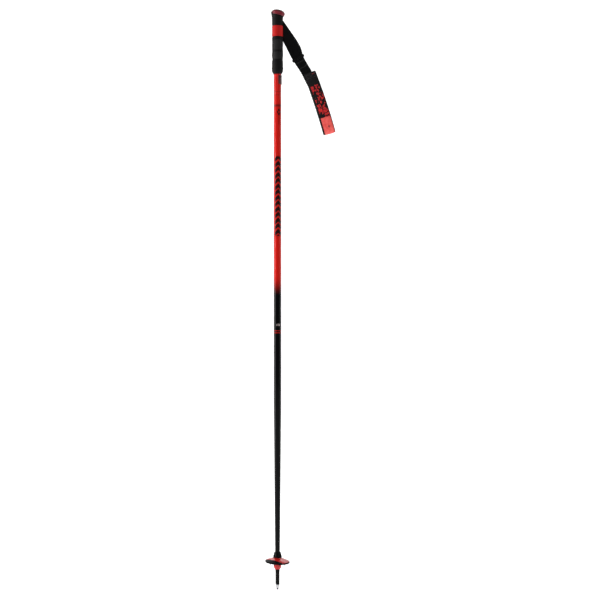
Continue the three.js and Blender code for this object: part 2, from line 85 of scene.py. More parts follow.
camera_data = bpy.data.cameras.new("camera")
camera_data.lens = LENS
camera_data.sensor_width = SENSOR
camera = bpy.data.objects.new("camera", camera_data)
camera.location = (CAMERA_X, -VIEW_SIDE * LENS / SENSOR, CAMERA_Z)
camera.rotation_euler = (math.pi / 2, 0, 0)
bpy.context.scene.collection.objects.link(camera)
bpy.context.scene.camera = camera
bpy.context.scene.view_settings.view_transform = "Standard"
print("camera stands", round(-camera.location.y, 3), "m away")

# %% [markdown]
# ## Nodes from Python
# Materials and repeated shapes are both node trees. `put` adds any node to any tree: its
# settings first, because they can change which sockets there are, then what its sockets hold.

# %% Adding a node
def socket_of(sockets, key):
    for s in sockets:
        if s.identifier == key:
            return s
    return sockets[key]


def put(tree, kind, settings=None, **sockets):
    node = tree.nodes.new(kind)
    for key, value in (settings or {}).items():
        setattr(node, key, value)
    for key, value in sockets.items():
        spaced = key.replace("_", " ")
        target = socket_of(node.inputs, spaced if spaced in node.inputs else key)
        value = value.socket if isinstance(value, Num) else value
        if isinstance(value, bpy.types.NodeSocket):
            tree.links.new(value, target)
        else:
            target.default_value = value
    return node


print("put adds a node")

# %% [markdown]
# `Num` wraps a number socket so that shader maths reads like ordinary Python. Each operator
# adds the Math node that does it, so `1 - mask` or `height > 3` is a line and not ten.

# %% Numbers from sockets
class Num:
    """A number socket that answers to Python's operators."""

    def __init__(self, tree, socket):
        self.tree = tree
        self.socket = socket

    def maths(self, operation, *others):
        node = self.tree.nodes.new("ShaderNodeMath")
        node.operation = operation
        for k, value in enumerate((self, *others)):
            if isinstance(value, Num):
                self.tree.links.new(value.socket, node.inputs[k])
            else:
                node.inputs[k].default_value = value
        return Num(self.tree, node.outputs[0])

    def __add__(self, other):
        return self.maths("ADD", other)

    __radd__ = __add__

    def __mul__(self, other):
        return self.maths("MULTIPLY", other)

    __rmul__ = __mul__

    def __sub__(self, other):
        return self.maths("SUBTRACT", other)

    def __rsub__(self, other):
        return self.maths("MULTIPLY_ADD", -1.0, other)

    def __truediv__(self, other):
        return self.maths("DIVIDE", other)

    def __gt__(self, other):
        return self.maths("GREATER_THAN", other)

    def __lt__(self, other):
        return self.maths("LESS_THAN", other)

    def __abs__(self):
        return self.maths("ABSOLUTE")

    def __mod__(self, other):
        return self.maths("FLOORED_MODULO", other)

    def wave(self):
        return self.maths("SINE")

    def least(self, other):
        return self.maths("MINIMUM", other)

    def most(self, other):
        return self.maths("MAXIMUM", other)

    def rise(self, low, high):
        """0 below low, 1 above high, and smooth between."""
        node = self.tree.nodes.new("ShaderNodeMapRange")
        node.interpolation_type = "SMOOTHSTEP"
        self.tree.links.new(self.socket, node.inputs["Value"])
        node.inputs["From Min"].default_value = low
        node.inputs["From Max"].default_value = high
        return Num(self.tree, node.outputs["Result"])

    def within(self, low, high):
        return (self > low) * (self < high)


print("Num has", sum(callable(v) for v in vars(Num).values()), "operators and methods")

# %% [markdown]
# A `Finish` is one material under construction. It hands out coordinates as numbers in
# millimetres, noise at a stated grain size, and a place to plug colour, roughness and bump.

# %% Material helper
class Finish:
    def __init__(self, name, **fixed):
        self.material = bpy.data.materials.new(name)
        self.material.use_nodes = True
        self.tree = self.material.node_tree
        self.shader = self.tree.nodes["Principled BSDF"]
        for key, value in fixed.items():
            self.shader.inputs[key.replace("_", " ")].default_value = value
        self.coords = None

    def place(self):
        """Object coordinates in millimetres, as three numbers."""
        if self.coords is None:
            source = put(self.tree, "ShaderNodeTexCoord").outputs["Object"]
            parts = put(self.tree, "ShaderNodeSeparateXYZ", Vector=source)
            self.coords = [Num(self.tree, o) * 1000.0 for o in parts.outputs]
        return self.coords

    def surface(self, name="along"):
        """The piece's own UV map in millimetres: across it and along it."""
        source = put(self.tree, "ShaderNodeUVMap", {"uv_map": name}).outputs["UV"]
        parts = put(self.tree, "ShaderNodeSeparateXYZ", Vector=source)
        return [Num(self.tree, parts.outputs[k]) * 1000.0 for k in (0, 1)]

    def vector(self, x, y, z=0.0):
        return put(self.tree, "ShaderNodeCombineXYZ", X=x, Y=y, Z=z).outputs[0]

    def noise(self, grain, detail=3.0, at=None):
        """Noise from 0 to 1 whose grain is that many millimetres."""
        if at is None:
            at = put(self.tree, "ShaderNodeTexCoord").outputs["Object"]
            scale = 1000.0 / grain
        else:
            scale = 1.0 / grain
        node = put(self.tree, "ShaderNodeTexNoise", Vector=at, Scale=scale, Detail=detail)
        return Num(self.tree, node.outputs["Fac"])

    def random_cell(self, size, at, metric):
        """One random number for each cell of a pattern, size millimetres across."""
        node = put(
            self.tree, "ShaderNodeTexVoronoi", {"distance": metric}, Vector=at, Scale=1.0 / size
        )
        parts = put(self.tree, "ShaderNodeSeparateXYZ", Vector=node.outputs["Color"])
        return Num(self.tree, parts.outputs[0])

    def blend(self, mask, below, above):
        """Colour below where the mask is 0 and above where it is 1."""
        node = put(self.tree, "ShaderNodeMix", {"data_type": "RGBA"})
        for key, value in (("Factor_Float", mask), ("A_Color", below), ("B_Color", above)):
            target = socket_of(node.inputs, key)
            value = value.socket if isinstance(value, Num) else value
            if isinstance(value, bpy.types.NodeSocket):
                self.tree.links.new(value, target)
            else:
                target.default_value = value
        return socket_of(node.outputs, "Result_Color")

    def set(self, **sockets):
        for key, value in sockets.items():
            value = value.socket if isinstance(value, Num) else value
            self.tree.links.new(value, self.shader.inputs[key.replace("_", " ")])
        return self

    def bump(self, height, depth):
        """Height from 0 to 1 stands for that many millimetres of relief."""
        node = put(self.tree, "ShaderNodeBump", Height=height, Distance=depth * MM)
        self.tree.links.new(node.outputs[0], self.shader.inputs["Normal"])
        return self


def rgb(red, green, blue):
    """A colour from its screen values, 0 to 255, as the linear colour that Blender mixes."""
    channels = (red, green, blue)
    linear = (((c / 255 + 0.055) / 1.055) ** 2.4 if c > 10 else c / 3294.6 for c in channels)
    return (*linear, 1.0)


print("red as Blender holds it:", [round(c, 3) for c in rgb(180, 36, 32)[:3]])

# %% [markdown]
# The floor is one long profile with a quarter round where it turns up. It is marked as stage,
# so it is not part of the pole.

# %% Floor and backdrop
def mesh_object(name, vertices, faces):
    mesh = bpy.data.meshes.new(name)
    mesh.from_pydata([tuple(v) for v in vertices], [], faces)
    made = bpy.data.objects.new(name, mesh)
    bpy.context.scene.collection.objects.link(made)
    return made


def sweep_floor(width=14.0, front=-8.0, back=5.0, height=7.0, radius=1.5, steps=24):
    line = [(front, 0.0)]
    for i in range(steps + 1):
        turn = math.pi / 2 * i / steps
        line.append((back - radius + radius * math.sin(turn), radius - radius * math.cos(turn)))
    line.append((back, height))
    points = [(x, y, z) for y, z in line for x in (-width / 2, width / 2)]
    faces = [(2 * i, 2 * i + 1, 2 * i + 3, 2 * i + 2) for i in range(len(line) - 1)]
    return mesh_object("studio_floor", points, faces)


floor = sweep_floor()
floor.data.shade_smooth()
paper = Finish("studio_paper", Base_Color=(0.92, 0.92, 0.92, 1), Roughness=0.9)
paper.shader.inputs["Emission Color"].default_value = (1, 1, 1, 1)
paper.shader.inputs["Emission Strength"].default_value = 0.5
floor.data.materials.append(paper.material)
floor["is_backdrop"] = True
print("floor sweep made")

# %% [markdown]
# Gloss paint shows its light as upright streaks, so two lamps are tall soft boxes, one at each
# side: the left one is wider and stronger, so its streak is too. The others are high up.
# An upright tube can't mirror them to a level camera, so they light it and leave no streak.

# %% Lights
def soft_box(name, place, aim, size, power):
    data = bpy.data.lights.new(name, "AREA")
    data.shape = "RECTANGLE"
    data.size, data.size_y = size
    data.energy = power
    lamp = bpy.data.objects.new(name, data)
    lamp.location = place
    lamp.rotation_euler = (Vector(aim) - Vector(place)).to_track_quat("-Z", "Y").to_euler()
    bpy.context.scene.collection.objects.link(lamp)


MIDDLE = (0, 0, 0.65)
soft_box("left_box", (-2.8, -0.5, 0.9), MIDDLE, (0.5, 2.6), 120)
soft_box("right_box", (2.8, -0.1, 0.9), MIDDLE, (0.3, 2.6), 36)
soft_box("front_box", (0.3, -4.2, 3.3), MIDDLE, (3.4, 1.6), 50)
soft_box("top_box", (0.2, -0.6, 3.6), MIDDLE, (2.0, 1.6), 16)
soft_box("back_box", (0.0, 3.4, 3.4), MIDDLE, (3.6, 1.4), 40)

# %% [markdown]
# The floor ends somewhere, and a camera that looks from the side or from behind sees past it.
# There the surroundings are plain white. As light they stay dim, because a bright world would
# wash out the black parts, so the world's two strengths are kept apart.

# %% World
WORLD_LIGHT = 0.14
world = bpy.data.worlds.new("studio")
world.use_nodes = True
dim = world.node_tree.nodes["Background"]
dim.inputs["Color"].default_value = (0.9, 0.92, 0.95, 1)
dim.inputs["Strength"].default_value = WORLD_LIGHT
beyond = put(world.node_tree, "ShaderNodeBackground", Color=(1, 1, 1, 1))
seen = put(world.node_tree, "ShaderNodeLightPath").outputs["Is Camera Ray"]
either = put(world.node_tree, "ShaderNodeMixShader", Fac=seen)
world.node_tree.links.new(dim.outputs[0], either.inputs[1])
world.node_tree.links.new(beyond.outputs[0], either.inputs[2])
world.node_tree.links.new(either.outputs[0], world.node_tree.nodes["World Output"].inputs[0])
bpy.context.scene.world = world
print("world light:", WORLD_LIGHT)

# %% [markdown]
# ## Mesh helpers
# Nearly every part of a pole is either turned, or a strip that follows a route. Both are rings
# of points joined up, so one function, `skin`, makes them all. `fillet` rounds the corners of
# an outline, because a moulded edge is never sharp.

# %% Skin and fillet
def tidy(made, sharp=35.0):
    """Merges doubles, points the faces outwards, and shades smooth up to the sharp angle."""
    work = bmesh.new()
    work.from_mesh(made.data)
    bmesh.ops.remove_doubles(work, verts=work.verts, dist=1e-6)
    bmesh.ops.dissolve_degenerate(work, edges=work.edges, dist=1e-7)
    bmesh.ops.recalc_face_normals(work, faces=work.faces)
    work.to_mesh(made.data)
    work.free()
    made.data.shade_smooth()
    made.data.set_sharp_from_angle(angle=math.radians(sharp))
    return made


def skin(name, rings, close=False, uv=None, sharp=35.0):
    """A closed surface through rings of points. Without close, flat caps end it."""
    rings = np.asarray(rings, float) * MM
    count, size = rings.shape[:2]
    last = count if close else count - 1
    i, j = np.meshgrid(np.arange(last), np.arange(size), indexing="ij")
    after, beside = (i + 1) % count, (j + 1) % size
    corners = [i * size + j, i * size + beside, after * size + beside, after * size + j]
    faces = np.stack(corners, -1).reshape(-1, 4).tolist()
    if not close:
        faces += [list(range(size))[::-1], list(range((count - 1) * size, count * size))]
    made = mesh_object(name, rings.reshape(-1, 3), faces)
    if uv is not None:
        table = np.asarray(uv, float).reshape(-1, 2) * MM
        layer = made.data.uv_layers.new(name="along")
        corner = np.zeros(len(made.data.loops), int)
        made.data.loops.foreach_get("vertex_index", corner)
        layer.data.foreach_set("uv", table[corner].ravel())
    return tidy(made, sharp)


def fillet(outline, radius, steps=4, closed=False):
    """The outline with each corner replaced by a short arc."""
    points = [np.array(p, float) for p in outline]
    made = [] if closed else [points[0]]
    span = range(len(points)) if closed else range(1, len(points) - 1)
    for k in span:
        before, here, after = points[k - 1], points[k], points[(k + 1) % len(points)]
        back, ahead = np.linalg.norm(before - here), np.linalg.norm(after - here)
        reach = min(radius, back * 0.45, ahead * 0.45)
        a = here + (before - here) / back * reach
        b = here + (after - here) / ahead * reach
        for t in np.linspace(0, 1, steps + 1):
            made.append(a * (1 - t) ** 2 + 2 * here * t * (1 - t) + b * t * t)
    return np.array(made if closed else made + [points[-1]])


def turned(name, outline, steps=96, closed=False, sharp=35.0):
    """A turned part from its outline of radius and height."""
    angles = np.linspace(0, 2 * math.pi, steps, endpoint=False)
    rings = [[(r * math.cos(a), r * math.sin(a), z) for a in angles] for r, z in outline]
    return skin(name, rings, close=closed, sharp=sharp)


square = [(0, 0), (1, 0), (1, 1), (0, 1)]
print("a fillet of a square:", len(fillet(square, 0.2, closed=True)), "points")

# %% [markdown]
# Holes and slots are cut with a Boolean modifier. Its result is read back as a plain mesh, and
# the modifier goes away, so what is left is an ordinary object at the origin.

# %% Modifier helpers
def bake(made):
    """Replaces an object's mesh with what its modifiers make of it."""
    graph = bpy.context.evaluated_depsgraph_get()
    graph.update()
    plain = bpy.data.meshes.new_from_object(made.evaluated_get(graph))
    made.modifiers.clear()
    old = made.data
    made.data = plain
    bpy.data.meshes.remove(old)
    return made


def discard(made):
    data = made.data
    bpy.data.objects.remove(made)
    bpy.data.meshes.remove(data)


def combine(made, other, operation="DIFFERENCE", keep=False, sharp=35.0):
    modifier = made.modifiers.new("cut", "BOOLEAN")
    modifier.operation = operation
    modifier.solver = "EXACT"
    modifier.object = other
    bake(made)
    if not keep:
        discard(other)
    return tidy(made, sharp)


def join(name, pieces):
    """Several loose parts of one moulding as one object."""
    work = bmesh.new()
    for piece in pieces:
        work.from_mesh(piece.data)
    mesh = bpy.data.meshes.new(name)
    work.to_mesh(mesh)
    work.free()
    for slot_material in pieces[0].data.materials:
        mesh.materials.append(slot_material)
    for piece in list(pieces):
        discard(piece)
    made = bpy.data.objects.new(name, mesh)
    bpy.context.scene.collection.objects.link(made)
    return made


FACES = []


def finished(made, finish, body, slot, *nodes):
    """Gives a piece its material and ties it to the frame."""
    made.data.materials.clear()
    made.data.materials.append(finish.material)
    made.data.polygons.foreach_set("material_index", [0] * len(made.data.polygons))
    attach(made, body)
    if nodes:
        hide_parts(*nodes)
    FACES.append((made.name, len(made.data.polygons)))
    print(made.name, "has", len(made.data.polygons), "faces")
    return made


# %% [markdown]
# ## Geometry Nodes for what repeats
# Fins, ribs, teeth and stitches are each one small shape many times over. One tree sets copies
# round an upright axis, and another sets them along a route. Both end by making the copies
# real, because an export drops instances.

# %% Tree for copies round the axis
def tree_inputs(name, inputs):
    tree = bpy.data.node_groups.new(name, "GeometryNodeTree")
    tree.interface.new_socket("Geometry", in_out="OUTPUT", socket_type="NodeSocketGeometry")
    for label, kind in inputs.items():
        tree.interface.new_socket(label, in_out="INPUT", socket_type="NodeSocket" + kind)
    return tree, tree.nodes.new("NodeGroupInput"), tree.nodes.new("NodeGroupOutput")


def close_tree(tree, instances, group_in, group_out):
    real = put(tree, "GeometryNodeRealizeInstances", Geometry=instances)
    finish = group_in.outputs["Material"]
    dressed = put(tree, "GeometryNodeSetMaterial", Geometry=real.outputs[0], Material=finish)
    tree.links.new(dressed.outputs[0], group_out.inputs[0])
    return tree


def around_tree():
    inputs = {"Item": "Object", "Count": "Int", "Start": "Float", "Material": "Material"}
    tree, group_in, group_out = tree_inputs("copies_round_axis", inputs)
    item = put(tree, "GeometryNodeObjectInfo", Object=group_in.outputs["Item"])
    points = put(tree, "GeometryNodeMeshLine", Count=group_in.outputs["Count"], Offset=(0, 0, 0))
    index = Num(tree, put(tree, "GeometryNodeInputIndex").outputs[0])
    count, start = (Num(tree, group_in.outputs[label]) for label in ("Count", "Start"))
    turn = index * (2 * math.pi) / count + start
    angles = put(tree, "ShaderNodeCombineXYZ", Z=turn)
    placed = put(
        tree,
        "GeometryNodeInstanceOnPoints",
        Points=points.outputs[0],
        Instance=item.outputs["Geometry"],
        Rotation=angles.outputs[0],
    )
    return close_tree(tree, placed.outputs[0], group_in, group_out)


AROUND = around_tree()
print("tree:", AROUND.name, [i.name for i in AROUND.interface.items_tree])

# %% [markdown]
# A stitch is a short capsule of thread. The second tree turns a line of edges into a curve,
# sets one stitch every pitch, and lays each along the curve.

# %% Tree for copies along a route
def stitch_tree():
    inputs = {
        "Route": "Geometry",
        "Pitch": "Float",
        "Stitch": "Float",
        "Thread": "Float",
        "Material": "Material",
    }
    tree, group_in, group_out = tree_inputs("stitches_on_route", inputs)
    curve = put(tree, "GeometryNodeMeshToCurve", Mesh=group_in.outputs["Route"])
    points = put(
        tree,
        "GeometryNodeCurveToPoints",
        {"mode": "LENGTH"},
        Curve=curve.outputs[0],
        Length=group_in.outputs["Pitch"],
    )
    bead = put(tree, "GeometryNodeMeshUVSphere", Segments=8, Rings=6, Radius=0.5)
    size = put(
        tree,
        "ShaderNodeCombineXYZ",
        X=group_in.outputs["Thread"],
        Y=group_in.outputs["Thread"],
        Z=group_in.outputs["Stitch"],
    )
    turn = put(
        tree, "FunctionNodeAlignRotationToVector", {"axis": "Z"}, Vector=points.outputs["Tangent"]
    )
    placed = put(
        tree,
        "GeometryNodeInstanceOnPoints",
        Points=points.outputs["Points"],
        Instance=bead.outputs["Mesh"],
        Rotation=turn.outputs[0],
        Scale=size.outputs[0],
    )
    return close_tree(tree, placed.outputs[0], group_in, group_out)


STITCHES = stitch_tree()
print("tree:", STITCHES.name)

# %% [markdown]
# A tree does nothing until a modifier runs it. `grow` gives an object such a modifier, sets the
# tree's inputs, and keeps the result as a plain mesh. `plate` makes the flat blanks that fins
# and ribs are copied from.

# %% Run a tree on an object
def grow(made, tree, **values):
    """Runs a tree on an object and keeps the result as its mesh. Inputs are set by identifier."""
    modifier = made.modifiers.new("grow", "NODES")
    modifier.node_group = tree
    for item in tree.interface.items_tree:
        if item.in_out == "INPUT" and item.name in values:
            modifier[item.identifier] = values[item.name]
    return bake(made)


def copies(name, item, count, start, finish):
    """Copies of item round the upright axis, as one object. The item itself goes away."""
    made = mesh_object(name, [(0, 0, 0)], [])
    grow(made, AROUND, Item=item, Count=count, Start=start, Material=finish.material)
    discard(item)
    return tidy(made)


def plate(name, outline, thickness, radius=0.0):
    """An upright plate in the XZ plane, centred on Y, with its rim slightly rounded."""
    outline = fillet(outline, radius, closed=True) if radius else np.array(outline, float)
    middle = outline.mean(axis=0)
    rings = []
    for y, inset in ((-0.5, 0.1), (-0.42, 0.0), (0.42, 0.0), (0.5, 0.1)):
        ring = outline + (middle - outline) * inset * thickness / np.ptp(outline, axis=0).max()
        rings.append([(x, y * thickness, z) for x, z in ring])
    return skin(name, rings)


print("ready to build")

# %% [markdown]
# ## The shaft
# A straight tube with a long, slight taper at the bottom, so it is one turned outline. All of
# its decoration is paint, and paint is a question of where: how high up, and how far round.
# The distance round the tube is the angle times the radius, with zero at the front.

# %% Shaft paint
SHAFT_RADIUS = 7.9
BLACK_UP_TO, FADE = 630.0, 52.0
CHEVRON_MIDDLE, CHEVRON_PITCH, CHEVRON_HALF = 1.8, 24.4, 7.8
CHEVRON_LOW, CHEVRON_HIGH = 761.0, 933.0
MARK_MIDDLE, MARK_Z = 3.4, 1028.0
RED = rgb(178, 24, 18)
BLACK = rgb(5, 5, 6)
DEEP_RED = rgb(104, 16, 16)


def shaft_finish():
    f = Finish(
        "shaft_paint", Roughness=0.26, Coat_Weight=0.6, Coat_Roughness=0.05, Coat_IOR=1.18,
        Specular_IOR_Level=0.03,
    )
    x, y, z = f.place()
    round_it = x.maths("ARCTAN2", y * -1.0) * SHAFT_RADIUS
    fade = ((z - BLACK_UP_TO) / FADE).most(0.0).least(1.0)
    speckle = f.noise(0.9, 2.0)
    colour = f.blend((fade * 1.15 - speckle * 0.15).rise(0.0, 1.0), BLACK, RED)

    # Chevrons in a column: the height folded back with the distance from the column's middle.
    aside = abs(round_it - CHEVRON_MIDDLE)
    folded = (z + aside * 0.9) % CHEVRON_PITCH
    strokes = (folded < 8.6).most(folded.within(11.4, 20.4))
    ink = strokes * (aside < CHEVRON_HALF) * z.within(CHEVRON_LOW, CHEVRON_HIGH)

    # A small diamond with an open middle, and a thin line below it.
    from_mark = abs(z - MARK_Z) + abs(round_it - MARK_MIDDLE) * 1.9
    diamond = (from_mark < 9.0) * (from_mark > 3.6)
    line = z.within(1001.0, 1018.0) * (abs(round_it - MARK_MIDDLE) < 0.55)
    ink = ink.most(diamond).most(line)
    colour = f.blend(ink, colour, rgb(26, 12, 12))

    # Bars right round the tube.
    faint = z.within(1070.6, 1073.4).most(z.within(1063.8, 1065.6))
    colour = f.blend(faint * 0.55, colour, DEEP_RED)
    colour = f.blend(z.within(1039.4, 1044.4) * 0.8, colour, rgb(70, 12, 12))
    rings = z.within(552.2, 553.8).most(z.within(556.6, 558.2))
    colour = f.blend(rings, colour, rgb(150, 24, 20))
    orange_peel = f.noise(5.0, 1.0)
    return f.set(Base_Color=colour, Roughness=0.2 + speckle * 0.08).bump(orange_peel, 0.003)


SHAFT_PAINT = shaft_finish()
print("paint nodes:", len(SHAFT_PAINT.tree.nodes))

# %% [markdown]
# The tube itself is an outline that goes up the outside and comes back down the inside, so the
# wall is one closed shape. Above 396 mm it is straight, and below that it tapers to the ferrule.

# %% Shaft
outline = [
    (4.2, 52), (5.2, 52), (5.2, 84), (SHAFT_RADIUS, 396),
    (SHAFT_RADIUS, 1178), (6.9, 1178), (6.9, 396), (4.2, 84),
]
shaft = turned("shaft", fillet(outline, 0.4, 3, closed=True), steps=96, closed=True)
finished(shaft, SHAFT_PAINT, "pole", "shaft_paint", "shaft_tube")

# %% [markdown]
# The length number is raised a hair off the paint. Text becomes a curve, then a mesh, and its
# flat points are wrapped onto the tube.

# %% Length number
def wrapped_text(name, text, height, radius, z, sideways, depth=0.12):
    curve = bpy.data.curves.new(name, "FONT")
    curve.body = text
    curve.size = height * MM
    curve.extrude = depth * 0.5 * MM
    curve.align_x = "CENTER"
    curve.align_y = "CENTER"
    flat = bpy.data.objects.new(name + "_flat", curve)
    bpy.context.scene.collection.objects.link(flat)
    graph = bpy.context.evaluated_depsgraph_get()
    graph.update()
    mesh = bpy.data.meshes.new_from_object(flat.evaluated_get(graph))
    bpy.data.objects.remove(flat)
    bpy.data.curves.remove(curve)
    work = bmesh.new()
    work.from_mesh(mesh)
    bmesh.ops.triangulate(work, faces=work.faces)
    long_edges = [e for e in work.edges if e.calc_length() > 1.2 * MM]
    bmesh.ops.subdivide_edges(work, edges=long_edges, cuts=2)
    bmesh.ops.triangulate(work, faces=work.faces)
    for v in work.verts:
        across, up, out = v.co.x, v.co.y, v.co.z
        turn = -math.pi / 2 + (across + sideways * MM) / (radius * MM)
        reach = (radius + depth * 0.45) * MM + out
        v.co = (reach * math.cos(turn), reach * math.sin(turn), z * MM + up)
    work.to_mesh(mesh)
    work.free()
    mesh.name = name
    made = bpy.data.objects.new(name, mesh)
    bpy.context.scene.collection.objects.link(made)
    return tidy(made)


pale_ink = Finish("pale_ink", Base_Color=rgb(196, 178, 174), Roughness=0.4)
number = wrapped_text("length_number", "125", 6.2, SHAFT_RADIUS, 570.0, 1.6)
finished(number, pale_ink, "pole", "shaft_paint")

# %% [markdown]
# ## The size label
# A sticker of clear maroon plastic wraps a little less than half of the shaft, on the strap's
# side. It is a short arc with rounded corners, so it is made flat and then bent round.

# %% Label
def bent_panel(name, half_angle, low, high, inner, outer, corner=2.2, steps=40):
    """A panel with rounded corners, bent round the upright axis and centred on +X."""
    half = math.radians(half_angle) * outer
    flat = fillet([(-half, low), (half, low), (half, high), (-half, high)], corner, 6, closed=True)
    middle = (low + high) / 2
    columns = []
    for u in np.linspace(-half, half, steps):
        over = max(0.0, abs(u) - (half - corner))
        drop = corner - math.sqrt(max(corner ** 2 - over ** 2, 0.0))
        columns.append((u, high - middle - min(drop, corner)))
    rings = []
    edge = 0.25
    for u, reach in columns:
        a = u / outer
        section = [
            (inner, -reach), (outer - edge, -reach), (outer, -reach + edge),
            (outer, reach - edge), (outer - edge, reach), (inner, reach),
        ]
        rings.append([(r * math.cos(a), r * math.sin(a), middle + dz) for r, dz in section])
    return skin(name, rings, sharp=50)


label_finish = Finish(
    "label", Roughness=0.45, Coat_Weight=0.2, Coat_Roughness=0.2, Specular_IOR_Level=0.3
)
_, label_y, label_z = label_finish.place()
stripes = ((label_z % 3.1) < 1.1) * label_z.within(1091.5, 1103.5) * (abs(label_y) < 5.4)
label_finish.set(Base_Color=label_finish.blend(stripes, rgb(58, 9, 13), rgb(104, 50, 50)))
label = bent_panel("size_sticker", 75, 1088, 1107.5, SHAFT_RADIUS + 0.3, SHAFT_RADIUS + 1.3)
finished(label, label_finish, "pole", "label_plastic", "size_label")

# %% [markdown]
# ## Tip and ferrule
# The ferrule is one black moulding: a stem for the tip, a bead that the basket snaps over, the
# seat that the basket turns on, and a finned shoulder above it. The body is turned. The fins
# are one plate, copied round the axis by the tree above.

# %% Plastic and steel finishes
def plastic(name, colour, roughness, grain, depth, coat=0.0):
    f = Finish(
        name, Base_Color=colour, Roughness=roughness, Coat_Weight=coat, Coat_Roughness=0.1,
        Coat_IOR=1.2, Specular_IOR_Level=0.06,
    )
    fine = f.noise(grain, 2.0)
    wide = f.noise(18.0, 2.0)
    f.set(Roughness=roughness - 0.05 + wide * 0.1)
    return f.bump(fine, depth)


BLACK_PLASTIC = plastic("black_plastic", rgb(9, 9, 10), 0.36, 0.5, 0.015, coat=0.2)
STEEL = Finish("turned_steel", Base_Color=rgb(186, 187, 190), Metallic=1.0, Roughness=0.28)
_, _, steel_z = STEEL.place()
STEEL.bump((steel_z * 16.0).wave() * 0.5 + 0.5, 0.01)
HARD_METAL = Finish("hard_metal", Base_Color=rgb(92, 94, 99), Metallic=1.0, Roughness=0.38)
HARD_METAL.bump(HARD_METAL.noise(0.3), 0.02)
print("finishes:", BLACK_PLASTIC.material.name, STEEL.material.name, HARD_METAL.material.name)

# %% [markdown]
# The ferrule's outline rises up the stem, over the bead that holds the basket and up to the
# shoulder, then returns down the bore that the shaft and the tip are pressed into. Ten fins
# stiffen the collar above the shoulder, and a Boolean makes them part of the same solid.

# %% Ferrule
STEM_RADIUS, STEM_TOP_RADIUS, SEAT_RADIUS, SHOULDER_RADIUS = 4.3, 4.45, 6.5, 9.5
FIN_COUNT = 10
outline = [
    (3.4, 10.8), (STEM_RADIUS, 10.8), (STEM_TOP_RADIUS, 41.4), (5.25, 42.2), (5.25, 42.8),
    (STEM_TOP_RADIUS, 43.4), (STEM_TOP_RADIUS, 49), (SEAT_RADIUS, 51), (SEAT_RADIUS, 69),
    (SHOULDER_RADIUS, 69), (SHOULDER_RADIUS, 70.1), (7.3, 71.2), (SEAT_RADIUS, 81), (5.5, 81),
    (5.5, 51.7), (3.4, 24.3),
]
ferrule = turned("ferrule_moulding", fillet(outline, 0.25, 3, closed=True), steps=80, closed=True)
fin = plate("fin", [(6.0, 69.5), (9.4, 69.5), (9.1, 71.6), (6.9, 80.3), (6.0, 80.3)], 1.3, radius=0.5)
fins = copies("fins", fin, FIN_COUNT, 0.0, BLACK_PLASTIC)
ferrule = combine(ferrule, fins, "UNION")
finished(ferrule, BLACK_PLASTIC, "pole", "black_plastic", "ferrule")

# %% [markdown]
# A bright steel cone shows below the stem, and a hard pin stands in it. Three fine grooves
# across the pin's end give it a bite on ice. Each is a three-sided bar that is cut away, and
# the slider on the strap uses the same helper for its raised lines.

# %% Tip
def three_sided_bar(name, points):
    """A bar with a triangular section, from its two triangles of corners in millimetres."""
    faces = [(0, 1, 2), (3, 5, 4), (0, 3, 4, 1), (1, 4, 5, 2), (2, 5, 3, 0)]
    return tidy(mesh_object(name, [tuple(v * MM for v in p) for p in points], faces))


outline = [(2.4, 3.6), (2.8, 3.6), (4.1, 9.6), (4.1, 10.5), (3.1, 10.5), (3.1, 24), (2.4, 24)]
sleeve = turned("tip_cone", fillet(outline, 0.3, 3, closed=True), steps=64, closed=True)
finished(sleeve, STEEL, "pole", "tip_steel", "tip_sleeve")
outline = [(0.0, 0.25), (0.9, 0.05), (1.7, 0.0), (2.1, 0.6), (2.1, 15.0), (0.0, 15.0)]
pin = turned("tip_point", fillet(outline, 0.2, 3), steps=48)
NOTCH = ((-0.3, -0.1), (0.3, -0.1), (0, 0.4))
for k in range(3):
    notch = three_sided_bar("notch", [(x, y, z) for x in (-4, 4) for y, z in NOTCH])
    notch.data.transform(Matrix.Rotation(k * math.pi / 3, 4, "Z"))
    combine(pin, notch)
finished(pin, HARD_METAL, "pole", "tip_hard_metal", "tip_pin")

# %% [markdown]
# ## The basket
# The basket is a shallow dome, set at a slight cant, in two colours. Both colours belong to
# one shape, so the dome is made once and parted by an upright column that stands off centre:
# what falls inside the column is red, the rest is the black rim. Ribs and teeth are copies
# round the axis again.

# %% Basket shapes
BASKET_RADIUS, EDGE_Z, TOP_Z, HUB_RADIUS = 26.0, 61.4, 68.0, 8.4
BASKET_WALL, RED_RADIUS, SPLIT_GAP = 2.4, 24.7, 0.1
RIB_COUNT = 6
TURN = Matrix.Rotation(math.radians(3.5), 4, "Y") @ Matrix.Rotation(math.radians(4), 4, "X")
CANT = Matrix.Translation((0, 0, EDGE_Z * MM)) @ TURN @ Matrix.Translation((0, 0, -EDGE_Z * MM))


def dome_top(r):
    t = (r - HUB_RADIUS) / (BASKET_RADIUS - HUB_RADIUS)
    return TOP_Z - (TOP_Z - EDGE_Z) * t + 2.2 * t * (1 - t)


def basket_dome(name):
    radii = np.linspace(BASKET_RADIUS, HUB_RADIUS - 1, 22)
    upper = [(r, dome_top(r)) for r in radii]
    lower = [(r, dome_top(r) - BASKET_WALL) for r in radii[::-1]]
    lip = ((0.3, 1.9), (0.42, 1.2), (0.3, 0.5))
    edge = [(BASKET_RADIUS + out, EDGE_Z - down) for out, down in lip]
    made = turned(name, lower + edge + upper, steps=128, closed=True)
    made.data.transform(CANT)
    return made


def column(radius, low=40.0, high=90.0, x=0.0, y=0.0, steps=128):
    made = turned("column", [(0, low), (radius, low), (radius, high), (0, high)], steps=steps)
    made.data.transform(Matrix.Translation((x * MM, y * MM, 0)))
    return made


